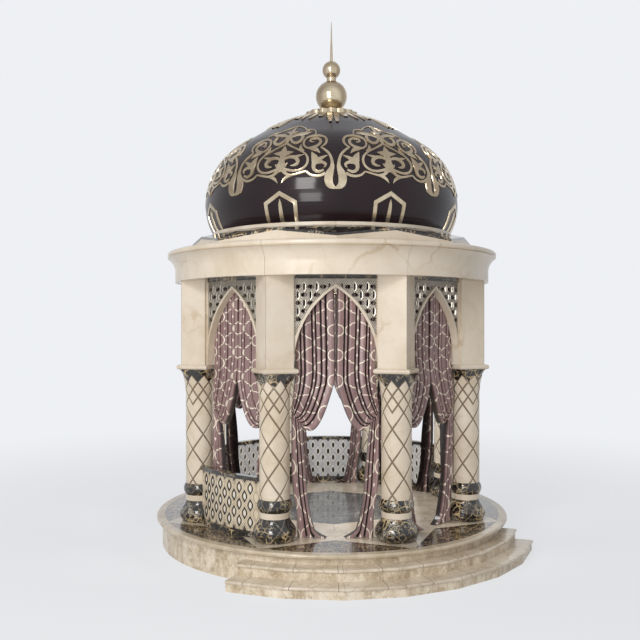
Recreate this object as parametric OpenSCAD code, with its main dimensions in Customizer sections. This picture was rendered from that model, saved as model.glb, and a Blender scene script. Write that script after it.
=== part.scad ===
// Garden rotunda: eight carved columns on a round stepped plinth, pointed arches
// with lattice screens, curved balustrades, a cornice and a bulbous dome.
// Millimetres, +Z up. The origin is on the rotunda's axis at ground level, and
// the middle of the steps faces -Y. Angles count from -Y towards +X.

/* [Plinth] */
// Height of the floor above the ground
plinth_h = 440; // [360:10:600]
// How far the drum that carries the floor stands out from the ring of columns
drum_margin = 495; // [420:5:700]
// How far the floor slab's edge stands out from the drum
rim_overhang = 89; // [40:1:120]
// Thickness of the floor slab
slab_t = 60; // [50:1:90]
// Width of the plain rim round the inlaid paving
rim_w = 128; // [80:1:160]
// Thickness of the inlaid paving
inlay_t = 20; // [12:1:30]
// Distance from the axis to the flats of the dark centre
centre_flat_r = 1080; // [700:10:1300]

/* [Steps] */
// Depth of one step, from edge to edge
step_going = 238; // [200:1:320]
// Half of the angle that the steps take round the plinth
step_half_angle = 49.4; // [30:0.1:60]
// Number of straight lengths in each step
step_sides = 7; // [5:1:9]
// Thickness of the tread slabs
tread_t = 45; // [30:1:60]
// Width of the open joint between two tread slabs
tread_joint = 3; // [2:0.5:8]
// How far a tread stands out over its riser
nosing = 22; // [10:1:40]

/* [Columns] */
// Radius of the ring that the column centres stand on
ring_r = 2150; // [1780:5:2600]
// Radius of a shaft
shaft_r = 206; // [170:1:240]
// Height of the bell-shaped base
bell_h = 310; // [200:5:400]
// Largest radius of the bell-shaped base
bell_r = 293; // [250:1:320]
// Radius of the bell where it meets the floor
bell_foot_r = 232; // [180:1:240]
// Height of the light collar over the bell
collar_h = 80; // [50:1:120]
// Height of the round ring over the collar
ring_h = 170; // [100:1:200]
// Largest radius of that ring
ring_bulge_r = 237; // [215:1:290]
// Height of the shaft with its base, from the floor to the capital
shaft_top = 1978; // [1700:1:2400]
// Height of the flared capital
capital_h = 260; // [180:1:320]
// Radius that the capital flares to
capital_r = 300; // [260:1:330]
// Width of the capital's squared top
capital_w = 468; // [430:1:500]
// Width of the square slab on the capital
abacus_w = 505; // [480:1:560]
// Thickness of that slab
abacus_t = 72; // [50:1:100]
// Width of the square pier over a column
pier_w = 398; // [340:1:420]
// Height of that pier
pier_h = 1239; // [1100:1:1500]

/* [Arches and screens] */
// How far an arch frame's face stands out from the line between column centres
frame_face = 62; // [30:1:80]
// Depth of an arch frame
frame_depth = 110; // [80:1:120]
// Width of the trim round the arch and the screen
trim_w = 32; // [22:1:50]
// Width of the jamb beside the arch at its foot
jamb_w = 22; // [12:1:40]
// Height of the straight foot of the arch over the square slab
spring_h = 71; // [20:1:140]
// Height left over the arch's point
crown_h = 144; // [110:1:200]
// Thickness of a lattice screen
screen_t = 34; // [20:1:50]
// Depth of the screen behind the frame's face
screen_set = 16; // [5:1:40]
// Width of one cell of the lattice
cell_w = 170; // [140:1:240]
// Height of one cell of the lattice
cell_h = 219; // [180:1:300]
// Width of a pointed slot in the lattice
slot_w = 26; // [16:1:34]
// Height of a pointed slot in the lattice
slot_h = 104; // [70:1:110]
// Width of a lozenge hole in the lattice
lozenge_w = 86; // [60:1:92]
// Height of a lozenge hole in the lattice
lozenge_h = 54; // [36:1:60]

/* [Balustrades] */
// Height of a balustrade, with its rails
balustrade_h = 827; // [700:1:1000]
// Height of the base rail
base_rail_h = 85; // [60:1:120]
// Width of the base rail
base_rail_w = 120; // [90:1:150]
// Height of the handrail
handrail_h = 52; // [40:1:80]
// Width of the handrail
handrail_w = 104; // [80:1:140]
// Thickness of a panel
panel_t = 60; // [40:1:80]
// Distance between two holes in a row
hole_pitch = 192; // [160:1:260]
// Distance between two rows with holes in line
hole_rise = 234; // [190:1:300]
// Width of a pointed hole
hole_w = 46; // [30:1:60]
// Height of a pointed hole
hole_h = 124; // [80:1:150]

/* [Curtains] */
// Thickness of a hanging curtain
curtain_t = 64; // [40:1:80]
// Distance between a curtain and the arch frame
curtain_gap = 12; // [5:1:30]
// Height of the place where a curtain is drawn aside
tie_h = 1650; // [1300:10:1900]
// Height of the lowest point of the part that hangs over the tie
swag_h = 1472; // [1100:1:1600]
// Height where the two curtains of a bay part
part_h = 2117; // [1900:1:2400]
// Radius of the curtain rail
rail_r = 15; // [10:1:20]

/* [Cornice and roof] */
// How far the cornice's foot stands out from the ring of columns
cornice_margin = 307; // [300:1:420]
// How far the cornice flares out
cornice_flare = 116; // [60:1:200]
// Height of the straight foot of the cornice
cornice_foot_h = 158; // [80:1:240]
// Height of the hollow curve
cornice_cove_h = 213; // [130:1:300]
// Height of the round lip
cornice_lip_h = 86; // [50:1:120]
// How far the cornice reaches inside the ring of columns
cornice_inset = 320; // [300:1:400]
// Width of the open joint between cornice blocks
joint_w = 3; // [1.5:0.5:6]
// Thickness of the dark boards in the cornice's soffit
soffit_t = 14; // [8:1:30]
// How far the corners of the roof's edge stand out from the ring of columns
eave_margin = 154; // [100:1:240]
// Height of the roof's edge at its corners
eave_h = 58; // [30:1:120]
// Height of the low gables over the corners
gable_h = 112; // [60:1:160]
// Height that the roof rises from a gable to the dome
roof_rise = 48; // [20:1:100]
// Width of the level seat that shows round the dome's ring
roof_seat = 20; // [10:1:60]
// Thickness of the roof slabs
roof_t = 35; // [25:1:60]
// How far the roof runs in under the dome's ring
roof_lap = 150; // [100:1:200]

/* [Dome] */
// How far inside the ring of columns the dome's ring ends
dome_ring_inset = 260; // [220:1:300]
// Height of that ring
dome_ring_h = 46; // [30:1:90]
// How far the dome's foot stands back from the edge of its ring
dome_foot_inset = 21; // [10:1:60]
// How far the dome swells out over its foot
dome_swell = 121; // [60:1:240]
// Height of the widest place over the foot
dome_belly_h = 430; // [350:1:700]
// Radius of the shoulder's curve
shoulder_r = 1098; // [800:1:1200]
// Slope of the dome's upper flank, in degrees
flank_slope = 32.4; // [24:0.1:38]
// Distance from the axis where the flank starts to flatten
flank_end_r = 1140; // [600:1:1300]
// Radius of the flattening curve
crown_r = 2336; // [1200:1:2600]
// Thickness of the dome's shell
dome_t = 60; // [40:1:90]

/* [Finial] */
// Radius of the disc under the finial
finial_disc_r = 285; // [200:1:340]
// Height of that disc
finial_disc_h = 100; // [20:1:120]
// Radius of the large ball
ball_r = 250; // [200:1:300]
// Radius of the small ball
small_ball_r = 144; // [100:1:180]
// How far the large ball sinks into the disc
ball_sink = 20; // [10:1:120]
// Radius of the neck that joins the balls
neck_r = 76; // [60:1:95]
// Height of that neck
neck_h = 62; // [10:1:80]
// Radius of the spire's foot
spire_foot_r = 24; // [15:1:60]
// Height of the spire
spire_h = 634; // [400:1:900]

/* [Hidden] */
$fn = 96;

// Eight columns and eight bays; bays 1 and 8 are open, on each side of the
// column in the middle of the steps, and the others have a balustrade.
sides = 8;
turn = 360 / sides;
seat_gap = 0.3;

// Levels over the ground
floor_z = plinth_h;
drum_h = plinth_h - slab_t;
riser_h = plinth_h / 3;
collar_z = floor_z + bell_h;
ring_z = collar_z + collar_h;
shaft_z = ring_z + ring_h;
capital_z = floor_z + shaft_top;
abacus_z = capital_z + capital_h;
pier_z = abacus_z + abacus_t;
cornice_z = pier_z + pier_h;
roof_z = cornice_z + cornice_foot_h + cornice_cove_h + cornice_lip_h;
dome_ring_z = roof_z + eave_h + gable_h + roof_rise + roof_t;
dome_z = dome_ring_z + dome_ring_h;

// Plan sizes
drum_r = ring_r + drum_margin;
rim_r = drum_r + rim_overhang;
inlay_r = rim_r - rim_w;
chord_r = ring_r * cos(turn / 2);
bay_half = ring_r * sin(turn / 2);
cornice_r = ring_r + cornice_margin;
cornice_inner_r = ring_r - cornice_inset;
eave_r = ring_r + eave_margin;
dome_ring_r = ring_r - dome_ring_inset;
roof_inner_r = dome_ring_r - roof_lap;
dome_foot_r = dome_ring_r - dome_foot_inset;
dome_r = dome_foot_r + dome_swell;
// Half of the clear width between two piers, d outside the line of their centres
function pier_gap_half(d) = bay_half - pier_w / 2 / cos(turn / 2) - d * tan(turn / 2);

// Arch: two arcs that meet in a point
face_half = pier_gap_half(frame_face);
arch_half = face_half - jamb_w;
spring_z = pier_z + spring_h;
arch_rise = cornice_z - crown_h - spring_z;
arc_shift = (arch_rise * arch_rise - arch_half * arch_half) / (2 * arch_half);
arc_r = arch_half + arc_shift;
lattice_half = face_half - trim_w;
lattice_top = cornice_z - trim_w;
lattice_rim = 14;

// Balustrade
panel_z = floor_z + base_rail_h;
handrail_z = floor_z + balustrade_h - handrail_h;
hole_turn = hole_pitch / ring_r * 180 / PI;
hole_edge = 26;

// Curtains
curtain_r = chord_r + frame_face - frame_depth - curtain_gap - curtain_t / 2;
rail_z = cornice_z - 60;

// Dome, worked out from its foot upwards
belly_r = ((dome_r - dome_foot_r) * (dome_r - dome_foot_r) + dome_belly_h * dome_belly_h)
    / (2 * (dome_r - dome_foot_r));
belly_z = dome_z + dome_belly_h;
flank_r = dome_r - shoulder_r + shoulder_r * sin(flank_slope);
flank_z = belly_z + shoulder_r * cos(flank_slope);
flank_end_z = flank_z + (flank_r - flank_end_r) * tan(flank_slope);
crown_x = flank_end_r - crown_r * sin(flank_slope);
crown_z = flank_end_z - crown_r * cos(flank_slope);
dome_top_z = crown_z + sqrt(crown_r * crown_r - crown_x * crown_x);

// Finial
disc_z = dome_top_z - 20;
ball_z = disc_z + finial_disc_h + ball_r - ball_sink;
small_ball_z = ball_z + ball_seat(ball_r, neck_r) + neck_h + ball_seat(small_ball_r, neck_r);
spire_z = small_ball_z + ball_seat(small_ball_r, spire_foot_r);
// Height over a ball's centre at which it is still r wide
function ball_seat(ball, r) = sqrt(ball * ball - r * r);

// Points on an arc about a centre, from one angle to another
function arc(x, y, r, from, to, steps) =
    [for (i = [0:steps]) let (a = from + (to - from) * i / steps) [x + r * cos(a), y + r * sin(a)]];

// Upright slot with straight flanks and pointed ends
module pointed_slot(w, h) {
    shoulder = h / 2 - w * 0.75;
    polygon([[0, h / 2], [w / 2, shoulder], [w / 2, -shoulder],
        [0, -h / 2], [-w / 2, -shoulder], [-w / 2, shoulder]]);
}

// Level lozenge with blunt ends
module lozenge(w, h) {
    blunt = h / 4;
    polygon([[w / 2, blunt], [w / 2, -blunt], [w / 5, -h / 2], [-w / 5, -h / 2],
        [-w / 2, -blunt], [-w / 2, blunt], [-w / 5, h / 2], [w / 5, h / 2]]);
}

module at_columns() {
    for (i = [0:sides - 1])
        rotate([0, 0, turn * i]) translate([0, -ring_r, 0]) children();
}

// Bays count from 1, the first one on the +X side of the steps
module at_bay(number) {
    rotate([0, 0, turn * (number - 0.5)]) children();
}

module ring(r_out, r_in, h) {
    difference() {
        cylinder(r = r_out, h = h);
        translate([0, 0, -1]) cylinder(r = r_in, h = h + 2);
    }
}

// ---------------------------------------------------------------- plinth

module plinth_drum() {
    color("#c9b798") cylinder(r = drum_r, h = drum_h);
}

// Round edge with a groove along its middle, on a slab of thickness t that ends at x
function grooved_edge(x, t) =
    let (r = t / 2, groove = 6)
    concat(
        arc(x - r, r, r, -90, -groove, 8),
        [[x - 5, r]],
        arc(x - r, r, r, groove, 90, 8));

module floor_slab() {
    color("#cdbc9c") translate([0, 0, drum_h]) rotate_extrude() polygon(concat(
        [[0, 0]], grooved_edge(rim_r, slab_t),
        [[inlay_r, slab_t], [inlay_r, slab_t - inlay_t], [0, slab_t - inlay_t]]));
}

// Two squares turned on each other; their corners reach the rim at the columns
module star_outline() {
    reach = inlay_r + 34;
    intersection() {
        circle(r = inlay_r, $fn = 256);
        union() for (a = [0, 45]) rotate([0, 0, a]) square(reach * sqrt(2), center = true);
    }
}

module centre_outline() {
    rotate([0, 0, turn / 2]) circle(r = centre_flat_r / cos(turn / 2), $fn = sides);
}

module floor_star() {
    color("#d8c9ae") translate([0, 0, floor_z - inlay_t]) linear_extrude(inlay_t) difference() {
        star_outline();
        centre_outline();
    }
}

module floor_centre() {
    color("#4a4640") translate([0, 0, floor_z - inlay_t]) linear_extrude(inlay_t)
        centre_outline();
}

module floor_border() {
    color("#4b3a2b") translate([0, 0, floor_z - inlay_t]) linear_extrude(inlay_t) difference() {
        circle(r = inlay_r, $fn = 256);
        star_outline();
    }
}

// ----------------------------------------------------------------- steps

// Ring of straight lengths that leans on the drum
module step_length(r, h) {
    side_turn = 2 * step_half_angle / step_sides;
    outer = [for (i = [0:step_sides])
        let (a = -step_half_angle + side_turn * i) [r * sin(a), -r * cos(a)]];
    linear_extrude(h) difference() {
        polygon(concat([[0, 0]], outer));
        circle(r = drum_r, $fn = 180);
    }
}

// One tread slab for each length, with a round nosing and joints cut square
module tread_slabs(r) {
    side_turn = 2 * step_half_angle / step_sides;
    front = r * cos(side_turn / 2);
    side = front * tan(side_turn / 2) + 1;
    round_r = tread_t / 2;
    for (i = [0:step_sides - 1])
        rotate([0, 0, -step_half_angle + side_turn * (i + 0.5)]) intersection() {
            rotate([90, 0, 90]) linear_extrude(2 * side, center = true) polygon(concat(
                [[-drum_r / 2, tread_t], [-drum_r / 2, 0]],
                [for (p = arc(front - round_r, round_r, round_r, -90, 90, 8)) [-p.x, p.y]]));
            linear_extrude(tread_t) difference() {
                polygon([[0, 0], [-side, -front - 1], [side, -front - 1]]);
                circle(r = drum_r, $fn = 180);
                for (a = [-1, 1]) rotate([0, 0, a * side_turn / 2])
                    translate([-tread_joint / 2, -front * 1.1]) square([tread_joint, front]);
            }
        }
}

module lower_step() {
    color("#cbb995") step_length(drum_r + 2 * step_going - nosing, riser_h - tread_t);
}

module lower_tread() {
    color("#d6c7a9") translate([0, 0, riser_h - tread_t])
        tread_slabs(drum_r + 2 * step_going);
}

module upper_step() {
    color("#cbb995") translate([0, 0, riser_h])
        step_length(drum_r + step_going - nosing, riser_h - tread_t);
}

module upper_tread() {
    color("#d6c7a9") translate([0, 0, 2 * riser_h - tread_t])
        tread_slabs(drum_r + step_going);
}

// --------------------------------------------------------------- columns

// Bell that swells over its foot and draws in to the shaft
function bell_points() =
    let (belly = bell_h * 0.4, swell = bell_r - bell_foot_r)
    concat(
        [for (i = [0:6]) let (a = 90 * i / 6)
            [bell_foot_r + swell * sin(a), belly * (1 - cos(a))]],
        [for (i = [1:10]) let (t = i / 10)
            [shaft_r + (bell_r - shaft_r) * (1 + cos(180 * t)) / 2, belly + (bell_h - belly) * t]]);

// Rounded edge of the ring, h over the floor
function bulge_points(h) =
    let (swell = ring_bulge_r - shaft_r, r = (ring_h * ring_h / 4 + swell * swell) / (2 * swell))
    arc(ring_bulge_r - r, h + ring_h / 2, r, -asin(ring_h / 2 / r), asin(ring_h / 2 / r), 12);

module column_bases() {
    color("#3a2f28") at_columns() translate([0, 0, floor_z]) rotate_extrude()
        polygon(concat([[0, 0]], bell_points(), [[0, bell_h]]));
}

module base_collars() {
    color("#d3c2a2") at_columns() translate([0, 0, collar_z]) cylinder(r = shaft_r, h = collar_h);
}

module base_rings() {
    color("#3a2f28") at_columns() translate([0, 0, ring_z]) rotate_extrude()
        polygon(concat([[0, 0]], bulge_points(0), [[0, ring_h]]));
}

module column_shafts() {
    color("#d9cbae") at_columns() translate([0, 0, shaft_z])
        cylinder(r = shaft_r, h = capital_z - shaft_z);
}

module capitals() {
    flare = capital_r - shaft_r;
    flare_r = (capital_h * capital_h + flare * flare) / (2 * flare);
    color("#332b26") at_columns() translate([0, 0, capital_z]) intersection() {
        rotate_extrude() difference() {
            square([capital_r, capital_h]);
            translate([shaft_r + flare_r, 0]) circle(r = flare_r, $fn = 180);
        }
        rotate([0, 0, 45]) translate([0, 0, capital_h / 2])
            cube([capital_w, capital_w, capital_h + 2], center = true);
    }
}

// Bar with round sides, lying along Y
module bullnose_bar(w, t) {
    rotate([90, 0, 0]) linear_extrude(w, center = true) polygon(concat(
        arc(w / 2 - t / 2, t / 2, t / 2, -90, 90, 8),
        arc(t / 2 - w / 2, t / 2, t / 2, 90, 270, 8)));
}

module abacus_slabs() {
    color("#d5c5a5") at_columns() translate([0, 0, abacus_z]) intersection() {
        rotate([0, 0, 45]) bullnose_bar(abacus_w, abacus_t);
        rotate([0, 0, -45]) bullnose_bar(abacus_w, abacus_t);
    }
}

module pier(w) {
    rotate([0, 0, 45]) translate([-w / 2, -w / 2, 0]) cube([w, w, pier_h]);
}

module attic_piers() {
    color("#d5c4a4") at_columns() translate([0, 0, pier_z]) pier(pier_w);
}

// --------------------------------------------------- arches and screens

// Pointed arch, wider by grow all round, seen from the front; y is the height
module arch_outline(grow) {
    below = spring_h + 1;
    intersection() {
        translate([-arc_shift, 0]) circle(r = arc_r + grow, $fn = 256);
        translate([arc_shift, 0]) circle(r = arc_r + grow, $fn = 256);
        translate([-arch_half - grow, 0]) square([2 * (arch_half + grow), 2 * arch_rise]);
    }
    translate([-arch_half - grow, -below]) square([2 * (arch_half + grow), below + 1]);
}

// The part of a bay that the lattice fills, less a margin, with a blunt foot
module lattice_field(margin) {
    top = lattice_top - spring_z - margin;
    half = lattice_half - margin;
    outer_r = arc_r + trim_w + margin;
    foot = sqrt(outer_r * outer_r - (half - lattice_rim + arc_shift) * (half - lattice_rim + arc_shift));
    difference() {
        translate([-half, foot]) square([2 * half, top - foot]);
        arch_outline(trim_w + margin);
    }
}

function in_field(x, y, margin) =
    abs(x) < lattice_half - margin && y < lattice_top - spring_z - margin && y > 0
    && norm([abs(x) + arc_shift, y]) > arc_r + trim_w + margin;

// Pointed slots and lozenges in turn, both staggered
module lattice_holes() {
    top = lattice_top - spring_z;
    columns = ceil(lattice_half / cell_w * 2);
    rows = ceil(top / cell_h * 2);
    intersection() {
        lattice_field(lattice_rim);
        for (i = [-columns:columns]) for (j = [0:rows]) {
            x = i * cell_w / 2;
            y = top - j * cell_h / 2;
            if (in_field(x, y, lattice_rim))
                translate([x, y])
                    if ((i + j) % 2 == 0) pointed_slot(slot_w, slot_h);
                    else lozenge(lozenge_w, lozenge_h);
        }
    }
}

// Stands an outline up in a bay, its face d outside the line of column centres
module stand_in_bay(d, depth) {
    translate([0, -chord_r - d, spring_z]) rotate([90, 0, 0])
        translate([0, 0, -depth]) linear_extrude(depth) children();
}

// Everything that the two piers beside a bay take up
module bay_piers() {
    for (side = [-1, 1]) rotate([0, 0, side * turn / 2])
        translate([0, -ring_r, pier_z - 1]) rotate([0, 0, 45])
            translate([-pier_w / 2, -pier_w / 2, 0]) cube([pier_w, pier_w, pier_h + 2]);
}

module arch_frames() {
    wall_half = pier_gap_half(frame_face - frame_depth) + 10;
    color("#d9c9aa") for (number = [1:sides]) at_bay(number) difference() {
        stand_in_bay(frame_face, frame_depth) difference() {
            translate([-wall_half, -spring_h]) square([2 * wall_half, pier_h]);
            arch_outline(0);
            lattice_field(0);
        }
        bay_piers();
    }
}

module lattice_screen(number) {
    color("#6f6659") at_bay(number) stand_in_bay(frame_face - screen_set, screen_t)
        difference() {
            lattice_field(0);
            lattice_holes();
        }
}

// ---------------------------------------------------------- balustrades

module curved_bar(w, h) {
    half_turn = turn / 2;
    rotate([0, 0, 270 - half_turn]) rotate_extrude(angle = 2 * half_turn, $fn = 180)
        translate([ring_r - w / 2, 0]) square([w, h]);
}

// Everything that the two columns beside a bay take up
module bay_columns() {
    for (side = [-1, 1]) rotate([0, 0, side * turn / 2]) translate([0, -ring_r, floor_z])
        rotate_extrude() polygon(concat(
            [[0, -1], [bell_foot_r, -1]], bell_points(), bulge_points(bell_h + collar_h),
            [[shaft_r, shaft_top], [0, shaft_top]]));
}

module base_rails() {
    color("#352c27") for (number = [2:sides - 1]) at_bay(number) difference() {
        translate([0, 0, floor_z]) curved_bar(base_rail_w, base_rail_h);
        for (side = [-1, 1]) rotate([0, 0, side * turn / 2])
            translate([0, -ring_r, floor_z - 1]) cylinder(r = bell_r, h = base_rail_h + 2);
    }
}

module handrails() {
    color("#332b26") for (number = [2:sides - 1]) at_bay(number) difference() {
        translate([0, 0, handrail_z]) curved_bar(handrail_w, handrail_h);
        bay_columns();
    }
}

// Radius of a column at a height over the floor, with the ring and bell as drums
function column_reach(h) =
    h < bell_h + hole_h / 2 ? bell_r : h < bell_h + collar_h + ring_h ? ring_bulge_r : shaft_r;

function hole_fits(a, h) =
    abs(a) / 180 * PI * ring_r + hole_w / 2 + hole_edge < ring_r * turn / 2 / 180 * PI - column_reach(h);

module balustrade(number) {
    panel_h = handrail_z - panel_z;
    rows = round(panel_h / hole_rise * 2) - 1;
    columns = ceil(turn / 2 / hole_turn * 2);
    color("#cdbb9a") at_bay(number) difference() {
        translate([0, 0, panel_z]) curved_bar(panel_t, panel_h);
        bay_columns();
        for (i = [-columns:columns]) for (j = [1:rows]) {
            a = i * hole_turn / 2;
            h = base_rail_h + j * panel_h / (rows + 1);
            if ((i + j) % 2 == 0 && hole_fits(a, h))
                rotate([0, 0, a]) translate([0, -ring_r, floor_z + h]) rotate([90, 0, 0])
                    linear_extrude(panel_t * 2, center = true) pointed_slot(hole_w, hole_h);
        }
    }
}

// -------------------------------------------------------------- curtains

// One of a pair, drawn to the +X side; y is the height over the floor
module curtain_outline() {
    half = pier_gap_half(frame_face - frame_depth) - 24;
    waist = bay_half - shaft_r - 17;
    foot = bay_half - bell_r - 6;
    top = rail_z - rail_r - seat_gap - floor_z;
    polygon([[10, top], [10, part_h], [77, part_h - 199], [128, part_h - 365], [210, swag_h + 190],
        [310, swag_h + 50], [380, swag_h], [450, swag_h + 28], [waist - 105, tie_h - 50],
        [waist - 113, tie_h - 260], [waist - 143, 900], [foot - 190, 400], [foot - 290, 120],
        [foot - 390, 24], [foot - 390, 2], [foot, 2], [foot, bell_h], [waist, bell_h + 300],
        [waist, shaft_top - 200], [waist - 33, shaft_top - 60],
        [waist - 53, abacus_z - floor_z - 90], [waist - 59, pier_z - floor_z + 30],
        [half, pier_z - floor_z + 130], [half, top]]);
}

module curtains(number) {
    color("#8a6f78") at_bay(number) for (side = [0, 1]) mirror([side, 0, 0])
        translate([0, -curtain_r + curtain_t / 2, floor_z]) rotate([90, 0, 0])
            linear_extrude(curtain_t) curtain_outline();
}

module curtain_rails() {
    rail_half = bay_half;
    color("#b99a5b") for (number = [1:sides]) at_bay(number) difference() {
        translate([-rail_half, -curtain_r, rail_z]) rotate([0, 90, 0])
            cylinder(r = rail_r, h = 2 * rail_half);
        bay_piers();
        for (side = [-1, 1]) translate([side * (bay_half + rail_half / 2), -curtain_r, rail_z])
            cube([rail_half, 4 * rail_r, 4 * rail_r], center = true);
    }
}

// ------------------------------------------------------ cornice and roof

// Section of the cornice: straight foot, hollow cove and round lip
module cornice_section() {
    cove_r = (cornice_cove_h * cornice_cove_h + cornice_flare * cornice_flare)
        / (2 * cornice_flare);
    lip_r = cornice_r + cornice_flare;
    cove_z = cornice_foot_h + cornice_cove_h;
    round_r = cornice_lip_h / 2;
    difference() {
        translate([cornice_inner_r, 0]) square([lip_r - cornice_inner_r, cove_z]);
        translate([cornice_r + cove_r, cornice_foot_h]) circle(r = cove_r, $fn = 180);
        translate([cornice_r, -1]) square([cornice_flare + 1, cornice_foot_h + 1]);
    }
    translate([cornice_inner_r, cove_z])
        square([lip_r - round_r - cornice_inner_r, cornice_lip_h]);
    intersection() {
        translate([lip_r - round_r, cove_z + round_r]) circle(r = round_r);
        translate([lip_r - round_r, cove_z]) square([round_r, cornice_lip_h]);
    }
}

// Sunk field in the cornice's underside, between the screen and the edge
module soffit_outline() {
    inner = chord_r + frame_face + 24;
    half = face_half - 40;
    intersection() {
        circle(r = cornice_r - 60, $fn = 180);
        translate([-half, -cornice_r]) square([2 * half, cornice_r - inner]);
    }
}

module cornice() {
    joint_turn = joint_w / cornice_inner_r * 180 / PI;
    color("#d8c9ab") for (number = [1:sides]) at_bay(number) difference() {
        translate([0, 0, cornice_z]) rotate([0, 0, 270 - turn / 2 + joint_turn / 2])
            rotate_extrude(angle = turn - joint_turn) cornice_section();
        translate([0, 0, cornice_z - 1]) linear_extrude(soffit_t + 1) soffit_outline();
    }
}

module soffit_boards() {
    color("#2f2723") for (number = [1:sides]) at_bay(number)
        translate([0, 0, cornice_z]) linear_extrude(soffit_t) soffit_outline();
}

// Ring over sixteen directions: columns on even ones, bays on odd ones
function eave_radius(k) = k % 2 == 0 ? eave_r * cos(turn / 2) : eave_r;
function eave_top(k) = eave_h + (k % 2 == 0 ? gable_h : 0);
function plan(k, r) = [r * sin(k * turn / 2), -r * cos(k * turn / 2)];

// Folded ring that rises from its outer edge to a level seat under the dome.
// The rows of points go round its section: low and high at the outer edge,
// high at the seat's edge and at the inner edge, then low back outwards.
module folded_ring(low_out, high_out, low_in, high_in) {
    n = 2 * sides;
    ks = [0:n - 1];
    edge = [for (k = ks) plan(k, eave_radius(k))];
    seat = [for (k = ks) plan(k, dome_ring_r + roof_seat)];
    hole = [for (k = ks) plan(k, roof_inner_r)];
    points = concat(
        [for (k = ks) [edge[k].x, edge[k].y, low_out[k]]],
        [for (k = ks) [edge[k].x, edge[k].y, high_out[k]]],
        [for (k = ks) [seat[k].x, seat[k].y, high_in]],
        [for (k = ks) [hole[k].x, hole[k].y, high_in]],
        [for (k = ks) [hole[k].x, hole[k].y, low_in]],
        [for (k = ks) [seat[k].x, seat[k].y, low_in]]);
    // The diagonals of the belts over and under the slope lie along the same lines
    faces = [for (belt = [0:5]) for (k = ks) let (
            a = belt * n + k, b = belt * n + (k + 1) % n,
            c = (belt + 1) % 6 * n + (k + 1) % n, d = (belt + 1) % 6 * n + k)
        each (k + (belt == 5 ? 1 : 0)) % 2 == 0 ? [[a, c, b], [a, d, c]] : [[a, d, b], [b, d, c]]];
    polyhedron(points, faces, convexity = 4);
}

module roof_gables() {
    n = 2 * sides;
    flat = [for (k = [0:n - 1]) 0];
    tops = [for (k = [0:n - 1]) eave_top(k)];
    color("#dccfb4") translate([0, 0, roof_z])
        folded_ring(flat, tops, 0, eave_h + gable_h + roof_rise);
}

module roof_slabs() {
    n = 2 * sides;
    tops = [for (k = [0:n - 1]) eave_top(k)];
    covers = [for (k = [0:n - 1]) eave_top(k) + roof_t];
    inner = eave_h + gable_h + roof_rise;
    color("#37302c") translate([0, 0, roof_z])
        folded_ring(tops, covers, inner, inner + roof_t);
}

// ------------------------------------------------------- dome and finial

module dome_ring() {
    color("#d9c8a8") translate([0, 0, dome_ring_z])
        ring(dome_ring_r, roof_inner_r + 10, dome_ring_h);
}

// Outer line of the dome from its foot to the axis, drawn in by t
function dome_line(t) =
    let (foot_angle = asin(dome_belly_h / belly_r), crown_angle = acos(-crown_x / (crown_r - t)))
    concat(
        arc(dome_r - belly_r, belly_z, belly_r - t, -foot_angle, 0, 8),
        [for (p = arc(dome_r - shoulder_r, belly_z, shoulder_r - t, 0, 90 - flank_slope, 14))
            if (p[1] > belly_z) p],
        arc(crown_x, crown_z, crown_r - t, 90 - flank_slope, crown_angle, 8));

module dome() {
    inner = dome_line(dome_t);
    outer = dome_line(0);
    color("#2c1a1c") intersection() {
        rotate_extrude($fn = 180) polygon(concat(
            outer, [for (i = [len(inner) - 1:-1:0]) inner[i]]));
        translate([0, 0, dome_z]) cylinder(r = dome_r + 1, h = dome_top_z - dome_z + 1);
    }
}

module finial_disc() {
    color("#b9955a") difference() {
        translate([0, 0, disc_z - 60]) cylinder(r = finial_disc_r, h = finial_disc_h + 60);
        rotate_extrude($fn = 180) polygon(concat(dome_line(0), [[0, dome_z]]));
    }
}

module finial_balls() {
    neck = asin(neck_r / ball_r);
    small_neck = asin(neck_r / small_ball_r);
    color("#c9a56a") rotate_extrude() polygon(concat(
        [[0, disc_z + finial_disc_h]],
        arc(0, ball_z, ball_r, asin(ball_sink / ball_r - 1), 90 - neck, 20),
        arc(0, small_ball_z, small_ball_r, small_neck - 90, 90 - asin(spire_foot_r / small_ball_r), 16),
        [[0, spire_z]]));
}

module finial_spire() {
    tip_r = 4;
    color("#c9a56a") translate([0, 0, spire_z])
        cylinder(r1 = spire_foot_r, r2 = tip_r, h = spire_h);
}

plinth_drum();
floor_slab();
floor_star();
floor_centre();
floor_border();
lower_step();
lower_tread();
upper_step();
upper_tread();
column_bases();
base_collars();
base_rings();
column_shafts();
capitals();
abacus_slabs();
attic_piers();
arch_frames();
lattice_screen(1);  // lattice_screen_1
lattice_screen(2);  // lattice_screen_2
lattice_screen(3);  // lattice_screen_3
lattice_screen(4);  // lattice_screen_4
lattice_screen(5);  // lattice_screen_5
lattice_screen(6);  // lattice_screen_6
lattice_screen(7);  // lattice_screen_7
lattice_screen(8);  // lattice_screen_8
base_rails();
handrails();
balustrade(2);  // balustrade_2
balustrade(3);  // balustrade_3
balustrade(4);  // balustrade_4
balustrade(5);  // balustrade_5
balustrade(6);  // balustrade_6
balustrade(7);  // balustrade_7
curtain_rails();
curtains(1);  // curtains_1
curtains(2);  // curtains_2
curtains(3);  // curtains_3
curtains(4);  // curtains_4
curtains(5);  // curtains_5
curtains(6);  // curtains_6
curtains(7);  // curtains_7
curtains(8);  // curtains_8
cornice();
soffit_boards();
roof_gables();
roof_slabs();
dome_ring();
dome();
finial_disc();
finial_balls();
finial_spire();
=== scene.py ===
"""Looks of a garden rotunda: carved columns on a round stepped plinth, pointed arches with
lattice screens and tied curtains, pierced balustrades, and a dome with raised gold scrollwork.
Metres, +Z up, the middle of the steps faces -Y. Turns count from -Y towards +X."""
import math

import bmesh
import bpy
import numpy as np
from mathutils import Matrix, Vector


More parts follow.
